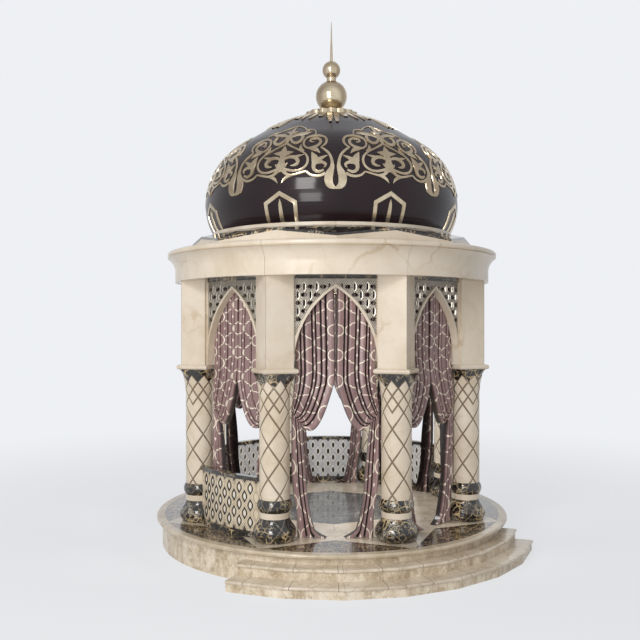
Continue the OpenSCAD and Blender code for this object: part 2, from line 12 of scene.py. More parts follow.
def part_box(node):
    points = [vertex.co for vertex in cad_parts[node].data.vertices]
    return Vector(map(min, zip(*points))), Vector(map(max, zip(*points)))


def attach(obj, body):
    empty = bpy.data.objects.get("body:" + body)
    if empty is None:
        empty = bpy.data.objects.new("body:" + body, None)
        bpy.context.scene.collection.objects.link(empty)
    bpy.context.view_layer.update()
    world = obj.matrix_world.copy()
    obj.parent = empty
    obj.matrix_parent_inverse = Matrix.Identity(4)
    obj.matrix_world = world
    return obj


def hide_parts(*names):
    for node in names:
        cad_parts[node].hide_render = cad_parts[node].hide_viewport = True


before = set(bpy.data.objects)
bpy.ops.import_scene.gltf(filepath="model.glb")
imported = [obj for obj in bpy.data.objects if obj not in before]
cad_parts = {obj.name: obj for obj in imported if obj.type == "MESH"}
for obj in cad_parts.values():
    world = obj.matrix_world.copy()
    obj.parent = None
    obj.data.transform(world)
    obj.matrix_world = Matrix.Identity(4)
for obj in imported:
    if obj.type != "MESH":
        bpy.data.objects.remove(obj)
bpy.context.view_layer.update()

BAYS = 8
TURN = math.tau / BAYS
ALL_BAYS = range(1, BAYS + 1)
CLOSED_BAYS = range(2, BAYS)


# ------------------------------------------------------------------ measures from the frame

def turned_box(node, turn):
    """Lowest and highest corner of what a node has in the sector about a turn, turned to -Y."""
    c, s = math.cos(-turn), math.sin(-turn)
    points = [(v.co.x * c - v.co.y * s, v.co.x * s + v.co.y * c, v.co.z)
              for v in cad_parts[node].data.vertices]
    near = np.array([p for p in points if abs(math.atan2(p[0], -p[1])) < TURN / 2 + 0.02])
    return near.min(0), near.max(0)


def outer_line(node):
    """Radius and height along the outside of a node turned about the axis, from its foot up."""
    points = sorted({(round(v.co.z, 4), round(math.hypot(v.co.x, v.co.y), 4))
                     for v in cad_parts[node].data.vertices})
    line = []
    for z, r in points:
        while len(line) > 1 and ((line[-1][0] - line[-2][0]) * (r - line[-2][1])
                                 - (line[-1][1] - line[-2][1]) * (z - line[-2][0])) > 0:
            line.pop()
        line.append((z, r))
    return line


floor_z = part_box("floor_star")[1].z
shaft_low, shaft_high = turned_box("column_shafts", 0)
ring_r = -(shaft_low[1] + shaft_high[1]) / 2
shaft_r = (shaft_high[0] - shaft_low[0]) / 2
chord_r = ring_r * math.cos(TURN / 2)
bay_half = ring_r * math.sin(TURN / 2)
pier_low, pier_high = turned_box("attic_piers", 0)
screen_low, screen_high = turned_box("lattice_screen_1", TURN / 2)
rail_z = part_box("curtain_rails")[0].z
curtain_low, curtain_high = turned_box("curtains_1", TURN / 2)
curtain_mid = -(curtain_low[1] + curtain_high[1]) / 2


# ------------------------------------------------------------------------------- finishes

def srgb(r, g, b):
    """A colour given as it looks on a screen, 0 to 255."""
    return tuple((c / 255 / 12.92) if c <= 10 else ((c / 255 + 0.055) / 1.055) ** 2.4
                 for c in (r, g, b))


class Wire:
    """One output of a node; arithmetic on it adds Math nodes."""

    def __init__(self, finish, socket):
        self.finish = finish
        self.socket = socket

    def math(self, operation, *others):
        values = dict(enumerate((self,) + others))
        return self.finish.node("ShaderNodeMath", {"operation": operation}, values)

    def turned(self, operation, other):
        values = {0: other, 1: self}
        return self.finish.node("ShaderNodeMath", {"operation": operation}, values)

    def __add__(self, other): return self.math("ADD", other)
    def __radd__(self, other): return self.math("ADD", other)
    def __sub__(self, other): return self.math("SUBTRACT", other)
    def __rsub__(self, other): return self.turned("SUBTRACT", other)
    def __mul__(self, other): return self.math("MULTIPLY", other)
    def __rmul__(self, other): return self.math("MULTIPLY", other)
    def __truediv__(self, other): return self.math("DIVIDE", other)
    def __rtruediv__(self, other): return self.turned("DIVIDE", other)
    def __abs__(self): return self.math("ABSOLUTE")

    def low(self, other): return self.math("MINIMUM", other)
    def high(self, other): return self.math("MAXIMUM", other)
    def under(self, other): return self.math("LESS_THAN", other)
    def over(self, other): return self.math("GREATER_THAN", other)
    def repeat(self, length): return self.math("PINGPONG", length / 2)

    def fade(self, start, end):
        """0 at start and 1 at end, smooth between them."""
        settings = {"interpolation_type": "SMOOTHSTEP"}
        return self.finish.node("ShaderNodeMapRange", settings, {0: self, 1: start, 2: end})


class Finish:
    """A material, or the world, made from nodes. Colours given as numbers to a ramp or a mix
    are as they look on a screen, 0 to 255."""

    def __init__(self, name, kind=bpy.data.materials):
        self.made = kind.new(name)
        self.made.use_nodes = True
        self.tree = self.made.node_tree
        self.tree.nodes.clear()

    def node(self, kind, settings=None, values=None, out=0):
        """Add a node with its settings and the values or wires of its sockets."""
        made = self.tree.nodes.new(kind)
        for key, value in (settings or {}).items():
            if key == "stops":
                ramp = made.color_ramp
                while len(ramp.elements) < len(value):
                    ramp.elements.new(0.5)
                for element, (place, colour) in zip(ramp.elements, value):
                    element.position = place
                    element.color = (*srgb(*colour), 1)
            else:
                setattr(made, key, value)
        for key, value in (values or {}).items():
            if isinstance(value, Wire):
                self.tree.links.new(value.socket, made.inputs[key])
            else:
                made.inputs[key].default_value = value
        return Wire(self, made.outputs[out]) if len(made.outputs) else made

    def place(self, scale=(1, 1, 1)):
        point = self.node("ShaderNodeTexCoord", out="Object")
        return self.node("ShaderNodeMapping", {}, {"Vector": point, "Scale": scale})

    def cloth_place(self):
        return self.node("ShaderNodeUVMap", {"uv_map": "cloth"})

    def split(self, vector):
        return [self.node("ShaderNodeSeparateXYZ", {}, {0: vector}, out=i) for i in range(3)]

    def noise(self, where, scale, detail=4, rough=0.55, out=0):
        values = {"Vector": where, "Scale": scale, "Detail": detail, "Roughness": rough}
        return self.node("ShaderNodeTexNoise", {}, values, out)

    def cracks(self, where, scale):
        """Distance from the edges of irregular cells."""
        settings = {"feature": "DISTANCE_TO_EDGE"}
        return self.node("ShaderNodeTexVoronoi", settings, {"Vector": where, "Scale": scale})

    def push(self, where, scale, amount):
        """The place, moved about by a noise."""
        shift = self.noise(where, scale, 3, out=1)
        values = {0: shift, 1: (0.5, 0.5, 0.5)}
        centred = self.node("ShaderNodeVectorMath", {"operation": "SUBTRACT"}, values)
        sized = self.node("ShaderNodeVectorMath", {"operation": "SCALE"},
                          {0: centred, "Scale": amount})
        return self.node("ShaderNodeVectorMath", {"operation": "ADD"}, {0: where, 1: sized})

    def veins(self, where, bend, amount, scale, half, soft):
        """1 on a net of wandering veins and 0 between them."""
        return line_mask(self.cracks(self.push(where, bend, amount), scale), half, soft)

    def joints(self, turn, slabs, half, soft):
        """1 on the joints between slabs set round the axis; half and soft in slabs."""
        return line_mask((turn * (slabs / math.tau)).repeat(1.0), half, soft)

    def mix(self, share, first, second):
        pair = [c if isinstance(c, Wire) else (*srgb(*c), 1) for c in (first, second)]
        settings = {"data_type": "RGBA"}
        return self.node("ShaderNodeMix", settings, {0: share, 6: pair[0], 7: pair[1]}, 2)

    def ramp(self, value, stops):
        return self.node("ShaderNodeValToRGB", {"stops": stops}, {0: value})

    def relief(self, height):
        """A surface whose bumps are given in metres."""
        values = {"Height": height, "Distance": 1.0, "Strength": 1.0}
        return self.node("ShaderNodeBump", {}, values)

    def surface(self, colour, rough, height=None, coat=(0, 0.03), **constants):
        """The finish itself; coat is the weight and the roughness of its clear coat."""
        values = {"Base Color": colour, "Roughness": rough, "Coat Weight": coat[0],
                  "Coat Roughness": coat[1]}
        if height is not None:
            values["Normal"] = self.relief(height)
        for key, value in constants.items():
            values[key.replace("_", " ").title().replace("Ior", "IOR")] = value
        shader = self.node("ShaderNodeBsdfPrincipled", {}, values)
        self.node("ShaderNodeOutputMaterial", {}, {"Surface": shader})
        return self.made

    def in_view(self):
        """1 for what the camera, a mirror or clear glass sees, 0 for light on its way."""
        camera, glossy, clear = [self.node("ShaderNodeLightPath", out=i) for i in (0, 3, 6)]
        return camera.high(glossy).high(clear)

    # places on the rotunda, as numbers

    def round_plan(self):
        """Turn from -Y in radians, distance from the axis, and height."""
        x, y, z = self.split(self.place())
        turn = x.math("ARCTAN2", 0 - y)
        return turn, (x * x + y * y).math("SQRT"), z

    def sector(self, first):
        """Place across and out from the axis in the nearest of eight sectors, and height."""
        turn, r, z = self.round_plan()
        local = (turn - first + TURN / 2).math("FLOORED_MODULO", TURN) - TURN / 2
        return r * local.math("SINE"), r * local.math("COSINE"), z

    def about_column(self):
        """Turn about the nearest column from its outward side, distance from it, height."""
        x, y, z = self.sector(0.0)
        y = y - ring_r
        return x.math("ARCTAN2", y), (x * x + y * y).math("SQRT"), z


def line_mask(distance, half, soft):
    """1 within half of a line and 0 past it."""
    return distance.fade(half + soft, half)


def cream_marble():
    """Honed cream marble with faint veins and open pores, and a dark line down the outward
    corner of each pier."""
    f = Finish("cream_marble")
    where = f.place()
    cloud = f.noise(f.push(where, 1.1, 0.5), 1.6, 6, 0.6)
    colour = f.ramp(cloud, [(0.30, (212, 197, 174)), (0.52, (229, 216, 197)),
                            (0.74, (238, 229, 214))])
    vein = f.veins(where, 2.4, 0.35, 1.3, 0.004, 0.03)
    faint = vein * f.noise(where, 2.2, 2).fade(0.45, 0.7)
    colour = f.mix(faint * 0.55, colour, (196, 172, 138))
    pores = f.noise(f.place(scale=(1, 1, 2.6)), 42, 2).fade(0.66, 0.76)
    colour = f.mix(pores * 0.3, colour, (188, 168, 138))
    across, out, z = f.sector(0.0)
    corner = line_mask(abs(across), 0.0025, 0.002) * out.over(ring_r + 0.2)
    corner = corner * z.over(pier_low[2] + 0.002) * z.under(pier_high[2] - 0.002)
    colour = f.mix(corner * 0.65, colour, (96, 82, 66))
    return f.surface(colour, 0.34 + pores * 0.2 - cloud * 0.08,
                     f.noise(where, 9, 5) * 0.0004 - pores * 0.0008 - corner * 0.001,
                     coat=(0.15, 0.12))


def carved_stone():
    """The same cream stone with painted shade darkening its carved grooves."""
    f = Finish("carved_stone")
    where = f.place()
    cloud = f.noise(f.push(where, 1.4, 0.4), 2.2, 6, 0.6)
    colour = f.ramp(cloud, [(0.30, (214, 199, 176)), (0.52, (228, 215, 195)),
                            (0.74, (238, 228, 212))])
    vein = f.veins(where, 3, 0.25, 2.2, 0.006, 0.04)
    colour = f.mix(vein * 0.22, colour, (201, 178, 146))
    depth = f.node("ShaderNodeAttribute", {"attribute_name": "groove"}, out=2)
    # painted shade: the deeper a face lies in a groove, the darker its colour
    painted_groove_shade = depth.fade(0.03, 0.65)
    colour = f.mix(painted_groove_shade * 0.85, colour, (104, 86, 64))
    grain = f.noise(where, 60, 3)
    return f.surface(colour, 0.38 + painted_groove_shade * 0.3 + grain * 0.08, grain * 0.0004,
                     coat=(0.12, 0.15))


def dark_marble():
    """Near-black polished marble with gold and pale veins in patches, and thin pale inlaid
    lines that carry the carving of the shafts on over the rings and bells."""
    f = Finish("dark_marble")
    where = f.place()
    bent = f.push(where, 4, 0.16)
    many = f.noise(f.push(where, 2.3, 0.3), 3.2, 3, 0.6).fade(0.46, 0.62)
    ground = f.ramp(f.noise(bent, 7, 5, 0.6), [(0.32, (16, 14, 13)), (0.6, (34, 31, 30)),
                                              (0.8, (62, 56, 52))])
    gold = line_mask(f.cracks(bent, 11), 0.02, 0.09) * (many * 0.96 + 0.04)
    fine = f.veins(where, 9, 0.09, 30, 0.015, 0.06)
    pale = fine * f.noise(where, 5, 2).fade(0.52, 0.64)
    colour = f.mix(gold, ground, (206, 182, 138))
    colour = f.mix(pale * 0.9, colour, (236, 224, 202))
    flake = f.noise(bent, 17, 2).fade(0.63, 0.69) * many
    colour = f.mix(flake * 0.75, colour, (150, 114, 72))
    turn, reach, z = f.about_column()
    first = (z - carving_z) / CELL_RUN
    across = turn / (math.tau / 4)
    net = (first - across).repeat(1.0).low((first + across).repeat(1.0))
    lines = line_mask(net, 0.004, 0.005)
    inlay = lines * reach.under(0.32) * z.under(shaft_low[2] + 0.001)
    colour = f.mix(inlay * 0.8, colour, (205, 190, 165))
    return f.surface(colour, 0.10 + gold * 0.12 + f.noise(where, 24, 2) * 0.08,
                     (gold + pale) * 0.0002, coat=(0.5, 0.05))


def brown_marble():
    """Polished dark brown marble of the border fields, full of gold veins."""
    f = Finish("brown_marble")
    where = f.place()
    bent = f.push(where, 2.2, 0.35)
    ground = f.ramp(f.noise(bent, 4.5, 6, 0.65), [(0.3, (26, 22, 20)), (0.5, (50, 41, 34)),
                                                 (0.72, (98, 80, 62))])
    broad = line_mask(f.cracks(bent, 6.5), 0.006, 0.05)
    colour = f.mix(broad * 0.85, ground, (190, 164, 124))
    spread = f.noise(where, 3, 2).fade(0.42, 0.6)
    fine = f.veins(where, 6, 0.15, 17, 0.01, 0.05)
    colour = f.mix(fine * spread * 0.8, colour, (214, 184, 138))
    return f.surface(colour, 0.12 + f.noise(where, 15, 2) * 0.1, coat=(0.4, 0.05))


def grey_marble():
    """Polished dark grey marble of the middle of the floor."""
    f = Finish("grey_marble")
    where = f.place()
    bent = f.push(where, 1.3, 0.7)
    colour = f.ramp(f.noise(bent, 2.0, 7, 0.62), [(0.3, (84, 85, 87)), (0.55, (112, 114, 115)),
                                                 (0.75, (146, 147, 146))])
    vein = f.veins(where, 2.5, 0.4, 2.1, 0.004, 0.022)
    colour = f.mix(vein * 0.5, colour, (176, 171, 160))
    x, y, _ = f.split(where)
    joint = line_mask(abs(x).low(abs(y)), 0.0016, 0.001)
    colour = f.mix(joint * 0.7, colour, (34, 32, 30))
    return f.surface(colour, 0.16 + vein * 0.1, joint * -0.001, coat=(0.35, 0.06))


def pale_marble():
    """Polished pale marble of the star and the treads, with dark joints between its slabs."""
    f = Finish("pale_marble")
    where = f.place()
    bent = f.push(where, 1.6, 0.5)
    colour = f.ramp(f.noise(bent, 2.4, 6, 0.6), [(0.3, (196, 180, 158)), (0.52, (221, 208, 188)),
                                                (0.75, (238, 228, 212))])
    vein = f.veins(where, 3, 0.3, 2.6, 0.004, 0.03)
    colour = f.mix(vein * 0.45, colour, (172, 150, 120))
    across, out, z = f.sector(TURN / 2)
    fan = abs(abs(across) - (out - chord_r * 0.76).high(0.0))
    middle, _, _ = f.sector(0.0)
    joint = line_mask(fan.low(abs(middle)), 0.0018, 0.001) * z.over(floor_z - STAR_THICK)
    turn, _, _ = f.round_plan()
    tread = f.joints(turn, TREAD_SLABS, 0.005, 0.002)
    joint = joint.high(tread * z.under(floor_z - STAR_THICK))
    colour = f.mix(joint * 0.85, colour, (70, 58, 46))
    return f.surface(colour, 0.2 + f.noise(where, 30, 3) * 0.1, joint * -0.001,
                     coat=(0.3, 0.06))


def travertine():
    """Filled travertine of the drum and the risers, its bands set upright."""
    f = Finish("travertine")
    bent = f.push(f.place(scale=(1, 1, 0.22)), 2.4, 0.22)
    band = f.noise(bent, 5.5, 7, 0.62)
    colour = f.ramp(band, [(0.28, (150, 129, 102)), (0.40, (206, 190, 164)),
                           (0.54, (232, 219, 198)), (0.72, (246, 238, 222))])
    pits = f.noise(f.place(scale=(1, 1, 0.4)), 34, 3).fade(0.62, 0.72)
    colour = f.mix(pits * 0.5, colour, (124, 103, 78))
    where = f.place()
    stain = f.noise(f.push(where, 3, 0.4), 6.5, 6, 0.7).fade(0.47, 0.66)
    colour = f.mix(stain * 0.62, colour, (164, 142, 106))
    fleck = f.noise(where, 19, 5, 0.7).fade(0.52, 0.62)
    colour = f.mix(fleck * 0.42, colour, (250, 244, 230))
    turn, _, z = f.round_plan()
    joint = f.joints(turn, DRUM_SLABS, 0.0008, 0.0006)
    joint = joint * z.under(floor_z - SLAB_THICK)
    colour = f.mix(joint * 0.7, colour, (92, 76, 58))
    return f.surface(colour, 0.36 + pits * 0.25, (pits + joint) * -0.0012, coat=(0.1, 0.15))


def rim_stone():
    """Pale travertine of the floor's rim, in lengths between dark joints."""
    f = Finish("rim_stone")
    where = f.place()
    colour = f.ramp(f.noise(f.push(where, 2, 0.3), 4, 6, 0.6),
                    [(0.3, (184, 167, 140)), (0.55, (212, 198, 174)),
                     (0.75, (228, 217, 198))])
    pits = f.noise(where, 40, 3).fade(0.62, 0.72)
    colour = f.mix(pits * 0.35, colour, (140, 118, 90))
    turn, r, _ = f.round_plan()
    joint = line_mask((turn * (DRUM_SLABS / math.tau) + 0.5).repeat(1.0), 0.001, 0.0006)
    inner = line_mask(abs(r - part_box("floor_border")[1].x - 0.001), 0.003, 0.001)
    joint = joint.high(inner)
    colour = f.mix(joint * 0.75, colour, (74, 60, 46))
    return f.surface(colour, 0.24 + pits * 0.25, (pits + joint) * -0.001, coat=(0.25, 0.08))


def screen_metal():
    """Satin grey bronze of the lattice screens, with fine crossed ribs."""
    f = Finish("screen_metal")
    x, _, z = f.sector(TURN / 2)
    up = z * (LATTICE_W / LATTICE_H)
    rib = ((up + x) / RIB_GAP).repeat(1.0).high(((up - x) / RIB_GAP).repeat(1.0))
    tone = f.noise(f.place(), 8, 4)
    colour = f.ramp(tone, [(0.3, (170, 161, 146)), (0.55, (194, 185, 170)),
                           (0.8, (210, 201, 186))])
    colour = f.mix(rib.fade(0.46, 0.24) * 0.85, colour, (52, 44, 40))
    return f.surface(colour, 0.34 + tone * 0.12, rib * 0.004, metallic=0.45)


def rim_metal():
    """Light bronze of the raised rims of the slots."""
    f = Finish("rim_metal")
    tone = f.noise(f.place(), 14, 3)
    colour = f.ramp(tone, [(0.3, (196, 188, 176)), (0.7, (228, 222, 212))])
    return f.surface(colour, 0.26 + tone * 0.12, tone * 0.0003, metallic=0.8)


def panel_stone():
    """The balustrades: beige stone outside and pale grey inside, with engraved crossing lines,
    painted shade as dark outlines about the rims, and dark inlay where a row of slots is cut
    by an edge."""
    f = Finish("panel_stone")
    where = f.place()
    turn, r, z = f.round_plan()
    beige = f.ramp(f.noise(f.push(where, 2, 0.3), 4, 5, 0.6),
                   [(0.3, (204, 188, 162)), (0.55, (230, 215, 190)),
                    (0.75, (243, 231, 210))])
    grey = f.ramp(f.noise(where, 6, 4), [(0.3, (188, 189, 191)), (0.7, (214, 214, 215))])
    outside = r.over(ring_r)
    colour = f.mix(outside, grey, beige)
    bay = (turn / TURN).math("FLOORED_MODULO", 1.0) * TURN - TURN / 2
    across = bay * (ring_r / HOLE_PITCH * 2)
    up = (z - panel_middle) / (panel_rise / 2)
    diagonal = (across + up).repeat(2.0).low((across - up).repeat(2.0))
    line = line_mask(diagonal, 0.035, 0.03) * 0.45
    x = across.repeat(2.0) * (HOLE_PITCH / 2)
    y = (up + 1).repeat(2.0) * (panel_rise / 2)

    def slot(x, y):
        wide, tall = BALUSTER_RIM[0][:2]
        return (x - wide / 2).high((y + x * 1.5 - tall / 2) * 0.555)

    near = slot(x, y).low(slot(HOLE_PITCH / 2 - x, panel_rise / 2 - y))
    # painted shade: a dark outline just outside the foot of each rim, strong outside, faint inside
    line = line.high(line_mask(abs(near - 0.003), 0.0025, 0.002) * (outside * 0.8 + 0.1))
    line = line.high(near.under(-0.012) * abs(up).over(2.4))
    colour = f.mix(line * 0.9, colour, (52, 42, 34))
    return f.surface(colour, 0.36 + line * 0.2, f.noise(where, 30, 3) * 0.0003 - line * 0.001,
                     coat=(0.1, 0.2))


def light_stone():
    """Light stone of the raised rims on the balustrades."""
    f = Finish("light_stone")
    tone = f.noise(f.place(), 12, 4)
    colour = f.ramp(tone, [(0.3, (238, 230, 216)), (0.7, (250, 246, 238))])
    return f.surface(colour, 0.3 + tone * 0.1, tone * 0.0003)


def dark_slip():
    """Near-black bronze of the balustrades' outer rims and of the slips in their slots."""
    f = Finish("dark_slip")
    tone = f.noise(f.place(), 20, 3)
    colour = f.ramp(tone, [(0.3, (24, 22, 22)), (0.7, (46, 42, 40))])
    return f.surface(colour, 0.45 + tone * 0.1)


def dome_enamel():
    """Deep aubergine enamel under a clear coat."""
    f = Finish("dome_enamel")
    where = f.place()
    tone = f.noise(where, 1.4, 4)
    colour = f.ramp(tone, [(0.3, (22, 8, 12)), (0.6, (32, 13, 18)),
                           (0.85, (42, 19, 25))])
    return f.surface(colour, 0.42 + tone * 0.06, f.noise(where, 9, 2) * 0.0003,
                     specular_ior_level=0.1, coat=(0.5, 0.12))


def gold_metal():
    """Champagne gold with a trace of brushing. Its colour is darkened where the surface is seen
    half from the side, a painted dark reflection, so that part of the finish depends on where it
    is looked at from."""
    f = Finish("gold_metal")
    tone = f.noise(f.place(), 6, 5)
    colour = f.ramp(tone, [(0.3, (182, 165, 138)), (0.55, (212, 196, 168)),
                           (0.8, (236, 222, 196))])
    scratch = f.noise(f.place(scale=(1, 1, 14)), 30, 2)
    # painted reflection: the gold's colour darkens by the angle it is seen at, in place of dark
    # reflections
    facing = f.node("ShaderNodeLayerWeight", {}, {"Blend": 0.5}, out=1)
    shade = facing.fade(0.08, 0.34) * facing.fade(0.95, 0.62)
    colour = f.mix(shade * 0.55, colour, (112, 94, 74))
    return f.surface(colour, 0.13 + tone * 0.1, scratch * 0.0002, metallic=1.0)


def curtain_satin():
    """Mauve satin with a woven pale gold trellis: pairs of arcs back to back, joined by short
    slanting strokes, and a small lozenge in every mesh; painted shade darkens it in the folds."""
    f = Finish("curtain_satin")
    u, v, _ = f.split(f.cloth_place())
    half_w, half_h = TRELLIS_W / 2, TRELLIS_H / 2
    x, y = u.repeat(TRELLIS_W), v.repeat(TRELLIS_H)

    arc_x, arc_r = 0.098, 0.086
    stroke_x, stroke_y = x - 0.11, y - 0.10

    def arc(x, y):
        bow = ((x - arc_x) * (x - arc_x) + y * y).math("SQRT")
        return abs(bow - arc_r).high(x - arc_x)

    across = abs(stroke_x * 0.76 - stroke_y * 0.65)
    along = abs(stroke_x * 0.65 + stroke_y * 0.76) - 0.016
    line = arc(x, y).low(arc(half_w - x, half_h - y)).low(across.high(along))
    lozenge = (half_w - x + y * 0.6).low(x + (half_h - y) * 0.6) - 0.009
    trellis = line_mask(line.low(lozenge), 0.0075, 0.002)
    weave = (v * 900).math("SINE") + (u * 900).math("SINE")
    tone = f.noise(f.place(), 3, 3)
    satin = f.ramp(tone, [(0.3, (130, 101, 100)), (0.6, (151, 120, 118)), (0.8, (169, 138, 135))])
    colour = f.mix(trellis, satin, (250, 238, 220))
    fold = f.node("ShaderNodeAttribute", {"attribute_name": "fold"}, out=2)
    # painted shade: the deeper in a fold's valley, the darker the satin
    colour = f.mix(fold.fade(0.03, 0.52) * 0.96, colour, (20, 10, 10))
    return f.surface(colour, 0.30 - trellis * 0.1, weave * 0.00008 + trellis * 0.0006,
                     sheen_weight=0.2, sheen_roughness=0.35, specular_ior_level=0.8)


def ground_paint():
    """Pale floor: it takes a soft shadow near the steps and melts into the backdrop."""
    f = Finish("ground_paint")
    x, y, _ = f.split(f.place())
    far = (x * x + y * y).math("SQRT").fade(3.5, 15)
    share = f.in_view() * (far * 0.25 + 0.75)
    paint = f.node("ShaderNodeBsdfDiffuse", {}, {0: (0.80, 0.80, 0.80, 1)})
    glow = f.node("ShaderNodeEmission", {}, {0: (*BACKDROP, 1), 1: 1.0})
    both = f.node("ShaderNodeMixShader", {}, {0: share, 1: paint, 2: glow})
    f.node("ShaderNodeOutputMaterial", {}, {0: both})
    return f.made


def wear(nodes, material, bays=None):
    """Give CAD nodes a finish through their slots; with bays, one node's copy in each bay."""
    for node in nodes.split() if bays is None else [f"{nodes}_{n}" for n in bays]:
        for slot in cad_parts[node].material_slots:
            slot.material = material


BACKDROP = srgb(238, 240, 244)
CELL_RUN = 0.438                      # height of one mesh of the carved net
LATTICE_W, LATTICE_H = 0.170, 0.219   # one repeat of the screens' slots
RIB_GAP = 0.032                       # between the fine ribs on the screens
HOLE_PITCH = 0.192                    # between the balustrades' slots
SLOT_H, HOLE_H = 0.104, 0.124         # height of a slot in a screen and in a balustrade
SLIP_SIZE = (0.050, 0.128)            # width and height of a slip in a balustrade's slot
TRELLIS_W, TRELLIS_H = 0.44, 0.40     # one repeat of the pattern on the curtains
DRUM_SLABS, TREAD_SLABS = 24, 32      # slabs in a full turn
SLAB_THICK, STAR_THICK = 0.061, 0.03  # from the floor down past the slab and the star

# loops of a slot's rim from its foot outside to its foot inside: width, height, how proud
BALUSTER_RIM = ((0.080, 0.160, 0), (0.072, 0.148, 0.010), (0.052, 0.120, 0.008),
                (0.045, 0.110, -0.006))
BALUSTER_EDGE = ((0.086, 0.170, 0), (0.080, 0.162, 0.009), (0.056, 0.128, 0.007),
                 (0.049, 0.118, -0.006))
LATTICE_RIM = ((0.056, 0.152, 0), (0.046, 0.137, 0.009), (0.031, 0.112, 0.007),
               (0.022, 0.098, -0.006))

carving_z = floor_z + 0.851
panel_low, panel_high = turned_box("balustrade_2", TURN * 1.5)
panel_middle = (panel_low[2] + panel_high[2]) / 2
panel_rise = (panel_high[2] - panel_low[2]) / 3

# finishes that new pieces take too
CARVED = carved_stone()
DARK = dark_marble()
SLOT_RIM = rim_metal()
LIGHT = light_stone()
SLIP = dark_slip()
GOLD = gold_metal()
SATIN = curtain_satin()

wear("plinth_drum lower_step upper_step", travertine())
wear("floor_slab", rim_stone())
wear("floor_star lower_tread upper_tread", pale_marble())
wear("floor_centre", grey_marble())
wear("floor_border", brown_marble())
wear("column_bases base_rings capitals base_rails handrails roof_slabs soffit_boards", DARK)
wear("dome_ring base_collars abacus_slabs attic_piers arch_frames cornice roof_gables",
     cream_marble())
wear("column_shafts", CARVED)
wear("lattice_screen", screen_metal(), ALL_BAYS)
wear("balustrade", panel_stone(), CLOSED_BAYS)
wear("dome", dome_enamel())
wear("finial_disc finial_balls finial_spire curtain_rails", GOLD)
wear("curtains", SATIN, ALL_BAYS)


# -------------------------------------------------------------------------------- pieces

def mesh_of(name, b):
    mesh = bpy.data.meshes.new(name)
    b.to_mesh(mesh)
    b.free()
    return mesh


def object_of(name, data):
    made = bpy.data.objects.new(name, data)
    bpy.context.collection.objects.link(made)
    return made


def piece(name, b, material, smooth=None):
    """Make an object of a bmesh; faces that meet at less than smooth degrees shade as one."""
    if smooth is not None:
        for face in b.faces:
            face.smooth = True
        for edge in b.edges:
            edge.smooth = edge.calc_face_angle(0) < math.radians(smooth)
    mesh = mesh_of(name, b)
    mesh.materials.append(material)
    made = object_of(name, mesh)
    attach(made, "root")
    return made


def cut(b, place, direction, drop=False):
    """Cut all faces by a plane; drop takes away what lies on the side it looks to."""
    geom = list(b.verts) + list(b.edges) + list(b.faces)
    bmesh.ops.bisect_plane(b, geom=geom, dist=1e-6, plane_co=place, plane_no=direction,
                           clear_outer=drop)


def around(b):
    """Repeat everything in each of the eight sectors."""
    geom = list(b.verts) + list(b.edges) + list(b.faces)
    bmesh.ops.spin(b, geom=geom, cent=(0, 0, 0), axis=(0, 0, 1), dvec=(0, 0, 0),
                   angle=TURN * (BAYS - 1), steps=BAYS - 1, use_duplicate=True)


GROOVE_HALF, GROOVE_DEEP = 0.017, 0.012
NET, NET_ASIDE = 36, 8                # cells along the flat net, and how far it is moved
COARSE_UP, NET_UP = 1.70, 2.06        # over the floor: where wide meshes end, and the net
PROUD_UP, PROUD_RUN = 1.90, 0.08      # where the net comes to stand on the stone, in what run
PROUD_FOOT = 0.0015                   # how deep its foot then still is
FLARE_R, FLARE_HALF = 0.4066, 0.234   # curve of the flare and half the side it runs out to
FLARE_CUTS = (1.93, 1.978, 2.01, 2.04, 2.07, 2.10, 2.13)
SHAFT_FACES = 40


def in_line(v):
    """Whether a corner lies on the straight line between its only two neighbours."""
    if len(v.link_edges) != 2:
        return False
    first, second = v.link_edges
    bend = (first.other_vert(v).co - v.co).cross(second.other_vert(v).co - v.co)
    return first.calc_face_angle(0) == second.calc_face_angle(0) and bend.length < 1e-6


